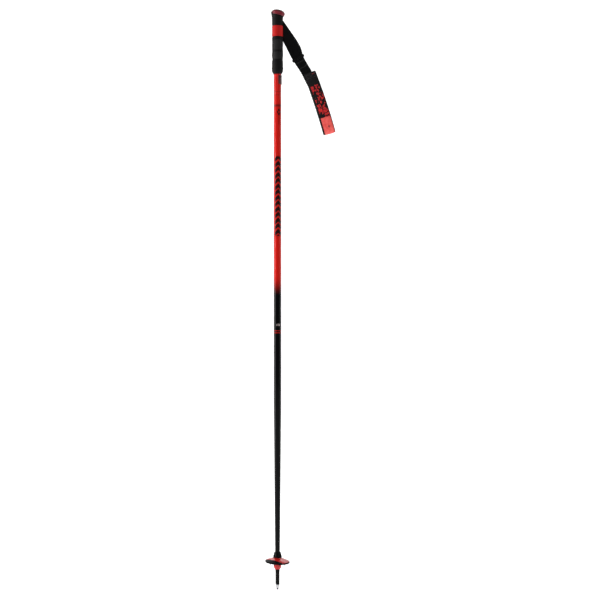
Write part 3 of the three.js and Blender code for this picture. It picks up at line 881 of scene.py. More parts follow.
def red_column(clearance):
    """What stays red: inside the rim's circle, and inside a wide circle that stands off centre."""
    wide = column(54.3 + clearance, 39, 91, 21.3, 31.8, steps=240)
    return combine(column(RED_RADIUS + clearance), wide, "INTERSECT")


GLOSS_RED = Finish(
    "gloss_red_plastic", Base_Color=rgb(180, 26, 22), Roughness=0.28, Coat_Weight=0.4,
    Coat_Roughness=0.08, Coat_IOR=1.4, Specular_IOR_Level=0.25,
)
GLOSS_RED.bump(GLOSS_RED.noise(7.0, 1.0), 0.04)
rib = plate("rib", [(7.8, 59.0), (20, 59.2), (20, 61.6), (7.8, 66.2)], 1.3, radius=0.4)
ribs = copies("ribs", rib, RIB_COUNT, math.pi / 6, GLOSS_RED)
disc = combine(basket_dome("basket_red_dome"), ribs, "UNION")
disc = combine(disc, red_column(-SPLIT_GAP), "INTERSECT")
outline = [
    (4.75, 44.0), (5.35, 43.8), (6.6, 45.0), (7.6, 46.6), (HUB_RADIUS, 50),
    (HUB_RADIUS, 67.9), (7.8, 68.7), (6.8, 68.7), (6.8, 50.2), (4.75, 48.2),
]
hub = turned("hub", fillet(outline, 0.5, 3, closed=True), steps=96, closed=True)
disc = combine(disc, hub, "UNION")
disc = combine(disc, column(11.5, 68.7, 90))
disc = combine(disc, column(6.8, 50.2, 90))
finished(disc, GLOSS_RED, "basket", "red_plastic", "basket_disc")

# %% [markdown]
# The rim is the other part of the same dome, so the two colours meet along one clean line.
# Small teeth hang from its edge and bite into hard snow. The red ribs reach under the rim, so
# room for them is cut out of it.

# %% Basket rim and teeth
TOOTH_COUNT = 14
tooth = turned("tooth", fillet([(0, 56.6), (0.75, 56.6), (1.15, 60.4), (0, 60.4)], 0.25, 3), steps=14)
tooth.data.transform(Matrix.Translation((RED_RADIUS * MM, 0, 0)))
teeth = copies("teeth", tooth, TOOTH_COUNT, 0.0, BLACK_PLASTIC)
teeth.data.transform(CANT)
rim = combine(combine(basket_dome("basket_black_rim"), teeth, "UNION"), red_column(SPLIT_GAP))
corners = [(x * MM, y * MM, z * MM) for x in (0, 21) for y in (-1, 1) for z in (53.6, 61.6)]
sides = [(0, 1, 3, 2), (4, 6, 7, 5), (0, 4, 5, 1), (2, 3, 7, 6), (0, 2, 6, 4), (1, 5, 7, 3)]
room = tidy(mesh_object("room", corners, sides))
rooms = copies("rooms", room, RIB_COUNT, math.pi / 6, BLACK_PLASTIC)
rim = combine(rim, combine(rooms, red_column(SPLIT_GAP), "INTERSECT"))
GLOSS_BLACK = plastic("gloss_black_plastic", rgb(6, 6, 7), 0.42, 0.8, 0.01, coat=0.0)
finished(rim, GLOSS_BLACK, "basket", "basket_black", "basket_rim")

# %% [markdown]
# ## The grip
# From the bottom: a rubber sleeve with a flange, a red band, a neck that flares to a lip, and
# a cap that tilts down towards the strap. A slot through the back of the upper half lets the
# strap swing up. It is cut with the same outline everywhere: round about the strap's pin, and
# open to the rear.

# %% Strap slot
PIN = np.array((4.5, 1217.5))
LIE_DOWN = Matrix.Translation((PIN[0] * MM, 0, PIN[1] * MM)) @ Matrix.Rotation(math.pi / 2, 4, "X")
SLOT_LOW_ANGLE, SLOT_HIGH_ANGLE = 28.4, 107.8


def direction(angle):
    """Along the strap, at an angle out from straight down, in X and Z."""
    a = math.radians(angle)
    return np.array((math.sin(a), -math.cos(a)))


def sideways(angle):
    a = math.radians(angle)
    return np.array((math.cos(a), math.sin(a)))


def strap_slot():
    half = 12.2
    low = PIN - sideways(SLOT_LOW_ANGLE) * half
    high = PIN + sideways(SLOT_HIGH_ANGLE) * half
    arc = [PIN - sideways(a) * half for a in np.linspace(SLOT_LOW_ANGLE, SLOT_HIGH_ANGLE - 180, 24)]
    outline = [low + direction(SLOT_LOW_ANGLE) * 80, *arc, high + direction(SLOT_HIGH_ANGLE) * 40]
    rings = [[(x, y, z) for x, z in outline] for y in (-2.4, 2.4)]
    return skin("strap_slot", rings)


slot = strap_slot()
print("slot runs from", [round(v) for v in slot.data.vertices[0].co / MM])

# %% [markdown]
# Rubber is dull with a fine grain. Its finger panels are shallow dips in the sleeve's surface:
# the radius at each point of a turned grid is changed by a small sum of smooth bumps, which
# keeps the surface in one piece. The rings that give hold are copies of one thin ring, stacked
# by a tree of their own.

# %% Grip sleeve
GRIP_RADIUS = 11.9
RUBBER = Finish("grip_rubber", Base_Color=rgb(8, 7, 8), Roughness=0.5, Specular_IOR_Level=0.09)
grain = RUBBER.noise(0.45, 2.0)
_, _, rubber_z = RUBBER.place()
panel = rubber_z.rise(1138.5, 1141.0) * (1.0 - rubber_z.rise(1157.0, 1160.0))
RUBBER.set(Roughness=0.54 - panel * 0.1 + grain * 0.06)
RUBBER.bump(grain, 0.06)


def smooth(t):
    t = np.clip(t, 0, 1)
    return t * t * (3 - 2 * t)


def swell(z, at, width):
    return np.exp(-(((z - at) / width) ** 2))


def grip_radius(z, a):
    """The radius at a height and an angle. The finger dips face away from the strap."""
    base = 11.85
    base -= 0.55 * swell(z, 1141.8, 4.0) + 0.3 * swell(z, 1167.5, 3.2)
    base += 0.35 * swell(z, 1151.5, 5.0) + 0.2 * swell(z, 1174.5, 3.0) + 0.1 * swell(z, 1130.5, 4.0)
    flange = smooth((z - 1109.8) / 7.0)
    base += 0.55 * swell(z, 1122.0, 3.4)
    chamfer = (1 - flange) * 2.9
    front = max(0.0, math.cos(a - math.pi))
    dips = sum(swell(z, at, 5.0) for at in (1141, 1159, 1177)) * 0.35 * front
    return base - chamfer - dips


def sleeve_rings(bottom, top, bore, steps=120, rows=90):
    heights = np.linspace(bottom, top, rows)
    angles = np.linspace(0, 2 * math.pi, steps, endpoint=False)
    inside = [[(bore * math.cos(a), bore * math.sin(a), z) for a in angles] for z in (top, 1112.7)]
    throat = [[(8.2 * math.cos(a), 8.2 * math.sin(a), z) for a in angles] for z in (1112.7, bottom)]
    rings = []
    for z in heights:
        ease = 0.35 * (1 - smooth((top - z) / 0.9))
        line = []
        for a in angles:
            r = grip_radius(z, a) - ease
            line.append((r * math.cos(a), r * math.sin(a), z))
        rings.append(line)
    return rings + inside + throat


sleeve = skin("grip_rubber_sleeve", sleeve_rings(1110.0, 1189.4, 10.3), close=True, sharp=40)
sleeve = combine(sleeve, slot, keep=True)
finished(sleeve, RUBBER, "pole", "grip_rubber", "grip_sleeve")

# %% [markdown]
# Near its foot the sleeve has six thin rings that stop the hand from slipping. One ring is
# made, and a tree stacks copies of it up the axis.

# %% Rings on the grip
def stack_tree():
    inputs = {"Item": "Object", "Count": "Int", "Pitch": "Float", "Material": "Material"}
    tree, group_in, group_out = tree_inputs("copies_up_axis", inputs)
    item = put(tree, "GeometryNodeObjectInfo", Object=group_in.outputs["Item"])
    step = put(tree, "ShaderNodeCombineXYZ", Z=group_in.outputs["Pitch"])
    line = put(tree, "GeometryNodeMeshLine", Count=group_in.outputs["Count"], Offset=step.outputs[0])
    placed = put(
        tree,
        "GeometryNodeInstanceOnPoints",
        Points=line.outputs[0],
        Instance=item.outputs["Geometry"],
    )
    return close_tree(tree, placed.outputs[0], group_in, group_out)


STACK = stack_tree()


def torus(name, radius, z, size, steps=96, sides=8):
    turns = np.linspace(0, 2 * math.pi, sides, endpoint=False)
    outline = [(radius + size * math.cos(t), z + size * 0.8 * math.sin(t)) for t in turns]
    return turned(name, outline, steps, closed=True)


RING_COUNT, RING_PITCH = 6, 1.95
ring_item = torus("ring_item", 11.55, 1128.6, 0.55)
rings = mesh_object("grip_rings", [(0, 0, 0)], [])
grow(
    rings, STACK, Item=ring_item, Count=RING_COUNT, Pitch=RING_PITCH * MM, Material=RUBBER.material
)
discard(ring_item)
finished(tidy(rings, 60), RUBBER, "pole", "grip_rubber")

# %% [markdown]
# Above the rings are four raised panels. A panel is a sheet that follows the sleeve's own
# radius, so it hugs every dip, and its rim fades to the surface. The fine cross hatching on it
# is bump, because it is too shallow to change the outline.

# %% Raised panels on the grip
def grip_panel(name, middle_angle, half_angle, low, high, lift):
    """A raised panel that follows the sleeve, with rounded corners and a soft edge."""
    columns, rows = 30, 34
    made = []
    for layer in (-0.6, lift):
        for i in range(rows):
            v = 2 * i / (rows - 1) - 1
            width = (1 - abs(v) ** 5 * 0.35) * half_angle
            for j in range(columns):
                u = 2 * j / (columns - 1) - 1
                a = math.radians(middle_angle + u * width)
                z = low + (high - low) * (v + 1) / 2 - 1.1 * u * u * math.copysign(abs(v) ** 3, v)
                soft = smooth((1 - abs(u)) / 0.16) * smooth((1 - abs(v)) / 0.12)
                r = grip_radius(z, a) + (layer if layer < 0 else layer * soft - 0.12)
                made.append((r * math.cos(a) * MM, r * math.sin(a) * MM, z * MM))
    faces = []
    size = rows * columns
    for i in range(rows - 1):
        for j in range(columns - 1):
            k = i * columns + j
            faces.append((size + k, size + k + 1, size + k + columns + 1, size + k + columns))
            faces.append((k, k + columns, k + columns + 1, k + 1))
    edge = [*range(columns), *range(2 * columns - 1, size, columns)]
    edge += [*range(size - 2, size - columns - 1, -1), *range(size - 2 * columns, 0, -columns)]
    for k, here in enumerate(edge):
        after = edge[(k + 1) % len(edge)]
        faces.append((here, after, size + after, size + here))
    return tidy(mesh_object(name, made, faces), 40)


PANEL_HALF_ANGLE, PANEL_LIFT, HATCH_PITCH = 52, 0.45, 2.4
PANELS = [
    (f"panel_{face}_{level}", angle, low, high)
    for face, angle in (("front", -90), ("back", 90))
    for level, low, high in (("low", 1141.5, 1157.5), ("high", 1161.0, 1184.0))
]
RUBBER_PANEL = Finish(
    "rubber_panel", Base_Color=rgb(14, 13, 14), Roughness=0.42, Specular_IOR_Level=0.14
)
panel_x, _, panel_z = RUBBER_PANEL.place()
rising = ((panel_z + panel_x) % HATCH_PITCH).maths("PINGPONG", HATCH_PITCH / 2)
falling = ((panel_z - panel_x) % HATCH_PITCH).maths("PINGPONG", HATCH_PITCH / 2)
hatch = rising + falling
RUBBER_PANEL.bump((hatch * 0.5).rise(0.3, 0.8), 0.22)
for name, middle, low, high in PANELS:
    panel = grip_panel(name, middle, PANEL_HALF_ANGLE, low, high, PANEL_LIFT)
    finished(panel, RUBBER_PANEL, "pole", "grip_rubber")

# %% [markdown]
# A hard core holds the shaft, and the rubber is moulded round it. Its bore for the strap's pin
# and the slot through it are what the strap needs to swing. The red band is a ring of harder
# plastic with a slight waist, set between the two rubber parts.

# %% Core and band
outline = [
    (8.2, 1113), (10, 1113), (10, 1234.5), (5.3, 1234.5),
    (5.3, 1231.2), (0, 1231.2), (0, 1178.3), (8.2, 1178.3),
]
core = turned("grip_inner_core", fillet(outline, 0.3, 3), steps=72, closed=True)
core = combine(core, slot, keep=True)
bar = turned("bar", [(0, -8.3), (2.0, -8.3), (2.0, 12.0), (0, 12.0)], steps=40)
bar.data.transform(LIE_DOWN)
core = combine(core, bar)
finished(core, BLACK_PLASTIC, "pole", "black_plastic", "grip_core")

SATIN_RED = plastic("satin_red", rgb(160, 25, 23), 0.42, 0.6, 0.02)
outline = [
    (10.3, 1191), (11.5, 1191), (11.82, 1191.7), (11.86, 1194), (11.7, 1202.4),
    (11.86, 1210.8), (11.82, 1213.1), (11.5, 1213.8), (10.3, 1213.8),
]
band = turned("grip_red_band", fillet(outline, 0.3, 3, closed=True), steps=112, closed=True)
band = combine(band, slot, keep=True)
finished(band, SATIN_RED, "pole", "band_red", "grip_band")

# %% [markdown]
# The cap and the lip around it are both cut by tilted shapes. The cap's own outside, grown by
# a gap, is the tool that hollows the neck, so the two always fit.

# %% Neck and cap
CAP_RADIUS, CAP_RIM = 14.4, 4.6
CAP_CENTRE = Vector((1.75, 0, 1241.9))
POLE_LENGTH = 1250
CAP_HEIGHT = POLE_LENGTH - CAP_CENTRE.z - 0.75
CAP_TILT = math.radians(12)
NECK_FOOT, NECK_BORE = 1215.4, 10.3
TILT = Matrix.Translation(CAP_CENTRE * MM) @ Matrix.Rotation(CAP_TILT, 4, "Y")


def cap_dome(name, clearance=0.0, steps=26, soft=0.5):
    outline = [(0, -CAP_RIM - clearance), (CAP_RADIUS - 0.8 + clearance, -CAP_RIM - clearance)]
    for i in range(steps + 1):
        turn = math.pi / 2 * i / steps
        radius = 0.0 if i == steps else (CAP_RADIUS + clearance) * math.cos(turn) ** 0.8
        outline.append((radius, (CAP_HEIGHT + clearance) * math.sin(turn)))
    made = turned(name, fillet(outline[:4], soft, 4).tolist() + outline[4:], steps=112)
    made.data.transform(TILT)
    return made


def neck_radius(z):
    t = max(0.0, min((z - 1229) / 14, 1.0))
    return GRIP_RADIUS + 2.1 * t ** 1.6


def neck_top(a):
    """Just under the tilted cap, with a horn that rises in front of it."""
    level = CAP_CENTRE.z - 5.0 - math.tan(CAP_TILT) * (12.8 * math.cos(a) - CAP_CENTRE.x)
    return level + 4.6 * smooth((-math.cos(a) - 0.72) / 0.22)


def neck_rings(steps=144, rows=26):
    angles = np.linspace(0, 2 * math.pi, steps, endpoint=False)
    tops = [float(neck_top(a)) for a in angles]
    start = NECK_FOOT + 0.35
    rings = []
    for r, z in ((NECK_BORE, NECK_FOOT), (11.6, NECK_FOOT), (11.85, start)):
        rings.append([(r * math.cos(a), r * math.sin(a), z) for a in angles])
    for k in range(1, rows + 1):
        share = k / rows
        line = []
        for a, top in zip(angles, tops):
            z = start + (top - 0.35 - start) * share
            r = neck_radius(z) if k > 1 else 11.9
            line.append((r * math.cos(a), r * math.sin(a), z))
        rings.append(line)
    edge = [neck_radius(top) - 0.35 for top in tops]
    for radii in (edge, [NECK_BORE] * steps):
        rings.append([(r * math.cos(a), r * math.sin(a), t) for r, a, t in zip(radii, angles, tops)])
    return rings


neck = skin("grip_neck_lip", neck_rings(), close=True, sharp=40)
neck = combine(combine(neck, cap_dome("room", 0.3)), slot)
finished(neck, RUBBER, "pole", "grip_rubber", "grip_neck")

boss = turned("boss", [(0, 1231.5), (4.6, 1231.5), (5, 1232), (5, 1240), (0, 1240)], steps=48)
cap = combine(cap_dome("grip_top_cap"), boss, "UNION")
CAP_FINISH = Finish(
    "cap_plastic", Roughness=0.3, Coat_Weight=0.4, Coat_Roughness=0.12, Coat_IOR=1.18,
    Specular_IOR_Level=0.08,
)
cap_x, _, cap_z = CAP_FINISH.place()
level = cap_z + (cap_x - CAP_CENTRE.x) * math.tan(CAP_TILT)
# The rim band below the tilted level is painted lighter than the dark top: a painted highlight along
# the rim.
painted_rim_highlight = CAP_FINISH.blend(level.rise(1242.6, 1245.2), rgb(104, 32, 42), rgb(66, 12, 18))
CAP_FINISH.set(Base_Color=painted_rim_highlight)
finished(cap, CAP_FINISH, "pole", "cap_plastic", "grip_cap")

# %% [markdown]
# ## The strap
# The strap is webbing: a flat band that follows a route. A route here is a list of middle
# points in the upright plane, with the width lying across it. The route is sampled evenly and
# its directions are averaged a little, so the band turns without kinks. Its UV map holds real
# distances, across and along, so the weave keeps its scale wherever the band goes.

# %% Routes
FOLD = np.array((28.5, 1178.2))
FOLD_ANGLE, FOLD_REACH = 31, 7
SLIDER = np.array((44.6, 1144.4))
SLIDER_ANGLE = 30.5
FRONT_ROUTE, BACK_ROUTE = (34.8, 0.8, 2.0), (28.4, -1.1, -0.3)  # angle, bend, bulge
PAD_START = np.array((69.0, 1113.4))
LEG_FOOT = [np.array(p) for p in ((54.6, 1127.5), (63.1, 1113.4), (70.0, 1099.0), (76.7, 1086.4))]


def catmull(points, t):
    """A point on the smooth curve through all of the points, for t from 0 to 1."""
    at = (len(points) - 1) * t
    k = min(int(at), len(points) - 2)
    w = at - k
    p0, p1, p2 = points[max(k - 1, 0)], points[k], points[k + 1]
    p3 = points[min(k + 2, len(points) - 1)]
    a, b = (p2 - p0) / 2, (p3 - p1) / 2
    return (2 * p1 - 2 * p2 + a + b) * w ** 3 + (-3 * p1 + 3 * p2 - 2 * a - b) * w ** 2 + a * w + p1


def leg_route(angle, bend, bulge):
    """Straight out of the slot to the fold, then a curve through the slider to the band."""
    reach = (FOLD + direction(FOLD_ANGLE) * 2 - PIN) @ direction(angle)
    top = PIN + direction(angle) * reach
    waist = SLIDER + sideways(SLIDER_ANGLE) * bend
    middle = (top + waist) / 2 + sideways(SLIDER_ANGLE) * bulge
    low = [top, middle, waist, *LEG_FOOT]
    straight = [PIN + direction(angle) * s for s in np.linspace(-11, reach, 40)[:-1]]
    return np.array(straight + [catmull(low, t) for t in np.linspace(0, 1, 60)])


def even(points, pitch, spread=3):
    """Evenly spaced points on a route, the direction across it at each, and the distance."""
    steps = np.linalg.norm(np.diff(points, axis=0), axis=1)
    run = np.concatenate([[0], np.cumsum(steps)])
    s = np.linspace(0, run[-1], int(run[-1] / pitch) + 1)
    made = np.stack([np.interp(s, run, points[:, k]) for k in (0, 1)], 1)
    tangent = np.gradient(made, axis=0)
    padded = np.pad(tangent, ((spread, spread), (0, 0)), mode="edge")
    tangent = sum(padded[k : k + len(made)] for k in range(2 * spread + 1))
    tangent /= np.linalg.norm(tangent, axis=1, keepdims=True)
    return made, np.stack([-tangent[:, 1], tangent[:, 0]], 1), s


LEG_PITCH = 1.6
print("front leg is", round(even(leg_route(*FRONT_ROUTE), LEG_PITCH)[2][-1]), "mm long")

# %% [markdown]
# Webbing is woven from thick threads, which show as small slanted ribs that change side every
# few millimetres. The pattern needs only the two UV distances.

# %% Webbing material
def webbing_finish(name, colour, light, rib=1.25, depth=0.12):
    f = Finish(name, Roughness=0.8, Specular_IOR_Level=0.06)
    w, s = f.surface()
    slant = (w % 4.4).maths("PINGPONG", 2.2)
    thread = ((s + slant) % rib) / rib
    height = thread.maths("PINGPONG", 0.5) * 2.0
    fuzz = f.noise(0.8, 3.0)
    tone = (height * 0.6 + fuzz * 0.5).rise(0.2, 1.1)
    f.set(Base_Color=f.blend(tone, colour, light), Roughness=0.72 + fuzz * 0.14)
    return f.bump(height * 0.8 + fuzz * 0.3, depth)


WEBBING = webbing_finish("webbing", rgb(5, 5, 6), rgb(17, 17, 18))
THREAD = Finish("thread", Base_Color=rgb(38, 38, 40), Roughness=0.6)
THREAD.bump(THREAD.noise(0.25), 0.05)
print("webbing nodes:", len(WEBBING.tree.nodes))

# %% [markdown]
# The two legs lie side by side in the slot and have a round end with a hole for the eyelet.
# Between its two bodies a leg must bend, but here it is one piece that is not tied to either body.

# %% Strap legs
WEB_HALF, WEB_THICKNESS = 11.0, 1.5


def band_section(half, thick, rim=0.55, columns=26):
    """One section of webbing: points (w, t) round it, thinner at the two selvedges."""
    w = -np.cos(np.linspace(0, math.pi, columns)) * half
    t = thick / 2 * np.sqrt(np.clip(1 - (np.abs(w) / half) ** (2 + half / rim), 0.0, 1)) + 0.02
    return np.concatenate([np.stack([w, -t], 1), np.stack([w[::-1], t[::-1]], 1)])


def leg(name, route_sizes, middle_y):
    route, across, s = even(leg_route(*route_sizes), LEG_PITCH)
    rings, uv = [], []
    for p, side, at in zip(route, across, s - WEB_HALF):
        half = math.sqrt(max(WEB_HALF ** 2 - min(at, 0) ** 2, 1.2))
        section = band_section(half, WEB_THICKNESS)
        rings.append([(p[0] + side[0] * w, middle_y + t, p[1] + side[1] * w) for w, t in section])
        uv.append([(w, at) for w, _ in section])
    made = skin(name, rings, uv=uv, sharp=60)
    hole = turned("hole", [(0, -3), (3.9, -3), (3.9, 3), (0, 3)], steps=40)
    hole.data.transform(LIE_DOWN)
    return combine(made, hole, sharp=60)


def hinged(made, finish, slot_name, *nodes):
    """A piece across the fold between the upper and the lower part of the strap: its material is set,
    its transform applied, and it is tied to no body.
    """
    made.data.materials.clear()
    made.data.materials.append(finish.material)
    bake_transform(made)
    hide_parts(*nodes)
    print(made.name, "has", len(made.data.polygons), "faces")


for side, sizes, y in (("front", FRONT_ROUTE, -1.0), ("back", BACK_ROUTE, 1.0)):
    nodes = [f"strap_leg_{side}_upper", f"strap_leg_{side}_lower"]
    hinged(leg(f"strap_{side}_leg", sizes, y), WEBBING, "webbing", *nodes)

# %% [markdown]
# The pin and its eyelet sit inside the grip. The pin's two ends are not seen, but they are
# chamfered as a real pin is. The slider is a flat moulded frame that both legs pass through.

# %% Pin, eyelet and slider
outline = [(0, -8), (1.3, -8), (1.7, -7.6), (1.7, 7.6), (1.3, 8), (0, 8)]
strap_pin = turned("strap_cross_pin", outline, steps=40)
strap_pin.data.transform(LIE_DOWN)
finished(strap_pin, STEEL, "pole", "tip_steel", "strap_pin")
outline = fillet([(2.0, -2.05), (3.6, -2.05), (3.6, 2.05), (2.0, 2.05)], 0.3, 3, closed=True)
eyelet = turned("strap_eyelet_ring", outline, steps=48, closed=True)
eyelet.data.transform(LIE_DOWN)
finished(eyelet, STEEL, "strap_ends", "tip_steel", "strap_eyelet")


def rounded_box(half_x, half_y, corner, steps=6):
    box = [(-half_x, -half_y), (half_x, -half_y), (half_x, half_y), (-half_x, half_y)]
    return fillet(box, corner, steps, closed=True)


def slider_frame():
    """Rings of the frame: outside from end to end, then back through the opening."""
    outside = [(13.95, 3.35, 1.3, -2.5), (14.2, 3.6, 1.5, -2.1), (14.2, 3.6, 1.5, 2.1)]
    outside += [(13.95, 3.35, 1.3, 2.5)]
    inside = [(13.15, 2.55, 0.8, 2.5), (12.9, 2.3, 0.7, 2.2), (12.9, 2.3, 0.7, -2.2)]
    inside += [(13.15, 2.55, 0.8, -2.5)]
    rings = [[(x, y, z) for x, y in rounded_box(*box)] for *box, z in outside + inside]
    made = skin("strap_slider_frame", rings, close=True)
    ridge = ((-0.3, -0.3), (0.25, 0.0), (-0.3, 0.3))
    lines = [
        three_sided_bar(
            "line", [(x, side * (3.55 + t), z + u) for x in (-11.5, 11.5) for t, u in ridge]
        )
        for z in (-1.3, 0.0, 1.3)
        for side in (-1, 1)
    ]
    made = combine(made, join("lines", lines), "UNION")
    turn = Matrix.Rotation(math.radians(-SLIDER_ANGLE), 4, "Y")
    made.data.transform(Matrix.Translation((SLIDER[0] * MM, 0, SLIDER[1] * MM)) @ turn)
    return made


finished(slider_frame(), BLACK_PLASTIC, "slider", "black_plastic", "strap_slider")

# %% [markdown]
# ## The padded band
# Below the legs the strap doubles: it runs down at the front, turns round at the bottom and
# runs up again at the back, and the hand goes between. One list of stations describes that
# loop. Each station has a place, the direction out of the loop, and the direction across it.
# The lining, the padding and the end patch are all sections laid at those stations.

# %% Loop stations
LOOP_HALF_GAP, LOOP_MOUTH, PAD_HALF = 7.0, 2.1, 13.2
PAD_LENGTH, PAD_START_ANGLE, PAD_END_ANGLE = 138.4, 21, 15.5
LINING_THICKNESS, PAD_GAP, PAD_THICKNESS = 1.0, 0.3, 1.8
RUN = PAD_LENGTH - LOOP_HALF_GAP - LINING_THICKNESS - PAD_GAP - PAD_THICKNESS


def pad_angle(s):
    return PAD_START_ANGLE + (PAD_END_ANGLE - PAD_START_ANGLE) * s / PAD_LENGTH


def run_middle(s, pieces=48):
    """The band hangs a little steeper all the way down: the point reached, and its angle."""
    steps = np.linspace(0, s, pieces + 1)
    angles = pad_angle((steps[1:] + steps[:-1]) / 2)
    point = PAD_START + sum(direction(a) * s / pieces for a in angles)
    return point, pad_angle(s)


def station(s):
    """At a distance along the loop: point, out and across, as three vectors."""
    turn_length = math.pi * LOOP_HALF_GAP
    if RUN <= s <= RUN + turn_length:
        point, angle = run_middle(RUN)
        turn = (s - RUN) / LOOP_HALF_GAP
        d = direction(angle)
        out = np.array((d[0] * math.sin(turn), -math.cos(turn), d[1] * math.sin(turn)))
        middle = np.array((point[0], 0, point[1])) + out * LOOP_HALF_GAP
    else:
        side = -1 if s < RUN else 1
        down = s if s < RUN else 2 * RUN + turn_length - s
        point, angle = run_middle(down)
        gap = LOOP_MOUTH + (LOOP_HALF_GAP - LOOP_MOUTH) * smooth((down - 12) / 48)
        out = np.array((0.0, side, 0.0))
        middle = np.array((point[0], side * gap, point[1]))
    c = sideways(angle)
    return middle, out, np.array((c[0], 0, c[1]))


TOTAL = 2 * RUN + math.pi * LOOP_HALF_GAP
print("the loop is", round(TOTAL), "mm round")


def loop_band(name, places, section, sharp=50):
    """Lays a section, which may change with the distance, at each station."""
    rings, uv = [], []
    for s in places:
        point, out, across = station(s)
        points = section(s)
        rings.append([point + out * t + across * w for w, t in points])
        uv.append([(w, s) for w, _ in points])
    return skin(name, rings, uv=uv, sharp=sharp)


# %% [markdown]
# A padded band is thickest in the middle of its width and is drawn in where it is sewn. So its
# outer face is a crown between two stitched grooves, and each edge is a rounded binding. The
# crown also swells a little between the rows of quilting that cross it. This shape is made
# directly, because a cloth simulation would melt a band only three millimetres thick.

# %% Padding
QUILT_FROM, QUILT_PITCH = 16.0, 31.0
GROOVE = 10.9


def pad_height(w, s):
    """The outer face of the padding, in millimetres out from the loop."""
    down = min(s, TOTAL - s)
    crown = 0.75 * (1 - (w / GROOVE) ** 2) if abs(w) < GROOVE else 0.0
    pinch = math.exp(-(((abs(w) - GROOVE) / 0.5) ** 2))
    quilt = 0.0
    if down < RUN - 20 and abs(w) < GROOVE:
        phase = (down - QUILT_FROM) / QUILT_PITCH
        near = abs(phase - round(phase)) * QUILT_PITCH
        quilt = math.exp(-((near / 1.1) ** 2)) * 0.55
    start = smooth(down / 3.0)
    ripple = 0.1 * math.sin(s * 0.21 + w * 0.18) + 0.06 * math.sin(s * 0.53 - w * 0.3)
    return 1.35 + (1.75 + crown - 0.6 * pinch - quilt + ripple * (crown > 0)) * (0.45 + 0.55 * start)


def pad_section(s):
    half = PAD_HALF - 1.4 * (1 - smooth(min(s, TOTAL - s) / 2.2))
    inside = [(w, 1.3) for w in np.linspace(half - 0.5, 0.5 - half, 14)]
    outside = [(w, pad_height(w, s)) for w in np.linspace(0.6 - half, half - 0.6, 45)]
    low = [(-half, 1.6), (-half - 0.02, 2.1), (0.25 - half, outside[0][1] - 0.28)]
    high = [(-w, t) for w, t in low[::-1]]
    high[0] = (half - 0.25, outside[-1][1] - 0.28)
    return inside + low + outside + high


def printed_finish():
    """Angular red shards on black, thin at the top, inside a black border."""
    f = Finish("printed_webbing", Roughness=0.7, Specular_IOR_Level=0.1)
    w, s = f.surface()
    down = s.maths("PINGPONG", TOTAL / 2)
    back = s > TOTAL / 2
    slanted = f.vector(w * 0.8 + down * 0.45, down * 0.7 - w * 0.55, back * 77.0)
    shard = f.random_cell(6.4, slanted, "MANHATTAN")
    thin = f.vector(w * 0.35 - down * 0.9, w * 0.95 + down * 0.1, 5.0)
    sliver = f.random_cell(3.4, thin, "EUCLIDEAN")
    amount = down.rise(12.0, 66.0) * 0.46 + 0.09
    cuts = (sliver < 0.3) * (down < 101.0)
    shapes = (shard < amount) * (1.0 - cuts)
    flecks = (sliver > 0.9) * down.rise(4.0, 24.0)
    inside = w.within(-9.2, 11.6) * down.within(5.0, 108.0)
    red_here = shapes.most(flecks).most(down > 103.5) * inside
    worn = f.noise(3.0, 3.0)
    dark_red = f.blend(worn.rise(0.35, 0.65), rgb(128, 14, 30), rgb(214, 46, 40))
    colour = f.blend(red_here, rgb(8, 8, 9), dark_red)
    thread = ((s + (w % 3.0).maths("PINGPONG", 1.5)) % 0.9) / 0.9
    weave = thread.maths("PINGPONG", 0.5) * 2.0
    colour = f.blend(weave * 0.16, colour, rgb(60, 52, 52))
    return f.set(Base_Color=colour, Roughness=0.62 + worn * 0.14).bump(weave * 0.7 + worn * 0.3, 0.07)


PRINTED = printed_finish()
TURN_END = RUN + math.pi * LOOP_HALF_GAP
marks, counts = (0, 4, RUN, TURN_END, TOTAL - 4, TOTAL), (9, 92, 28, 92, 9)
runs = [np.linspace(a, b, n)[:-1] for a, b, n in zip(marks[:-1], marks[1:], counts)]
places = np.concatenate([*runs, [TOTAL]])
band = loop_band("strap_padded_band", places, pad_section)
pad_nodes = [f"strap_pad_{side}" for side in ("front", "fold", "back")]
finished(band, PRINTED, "strap_loop", "printed_webbing", *pad_nodes)

# %% [markdown]
# The lining is what touches the hand: a brushed fabric with a nap, and faintly uneven, because
# it is only held at its edges. It follows the same stations on the loop's inner side.

# %% Lining
def lining_section(s):
    w = np.linspace(-12.2, 12.2, 16)
    uneven = np.abs(0.08 * np.sin(s * 0.35 + w * 0.5))
    hand_side = [(a, 0.02 + b) for a, b in zip(w[::-1], uneven[::-1])]
    pad_side = [(a, LINING_THICKNESS) for a in w]
    return [(-12.4, 0.3), (-12.4, 0.8), *pad_side, (12.4, 0.8), (12.4, 0.3), *hand_side]


def lining_finish():
    f = Finish("lining", Roughness=0.95, Sheen_Weight=0.35, Sheen_Roughness=0.4)
    nap, soft = f.noise(0.5, 3.0), f.noise(9.0, 2.0)
    colour = f.blend(nap * 0.6 + soft * 0.4, rgb(20, 20, 22), rgb(46, 46, 49))
    return f.set(Base_Color=colour).bump(nap, 0.15)


lining = loop_band("strap_soft_lining", places[::2], lining_section)
lining_nodes = [f"strap_lining_{side}" for side in ("front", "fold", "back")]
finished(lining, lining_finish(), "strap_loop", "lining", *lining_nodes)

# %% [markdown]
# The end patch is a coated piece sewn over the bottom of the loop. It laps from the front run
# round nearly half of the turn.

# %% End patch
PATCH_START, PATCH_END = 103.0, RUN + 0.45 * math.pi * LOOP_HALF_GAP
PATCH_MIDDLE, PATCH_REST = 0.9, 115.0  # off centre across the band; where its shape is read


def patch_height(w):
    return pad_height(w, PATCH_REST)


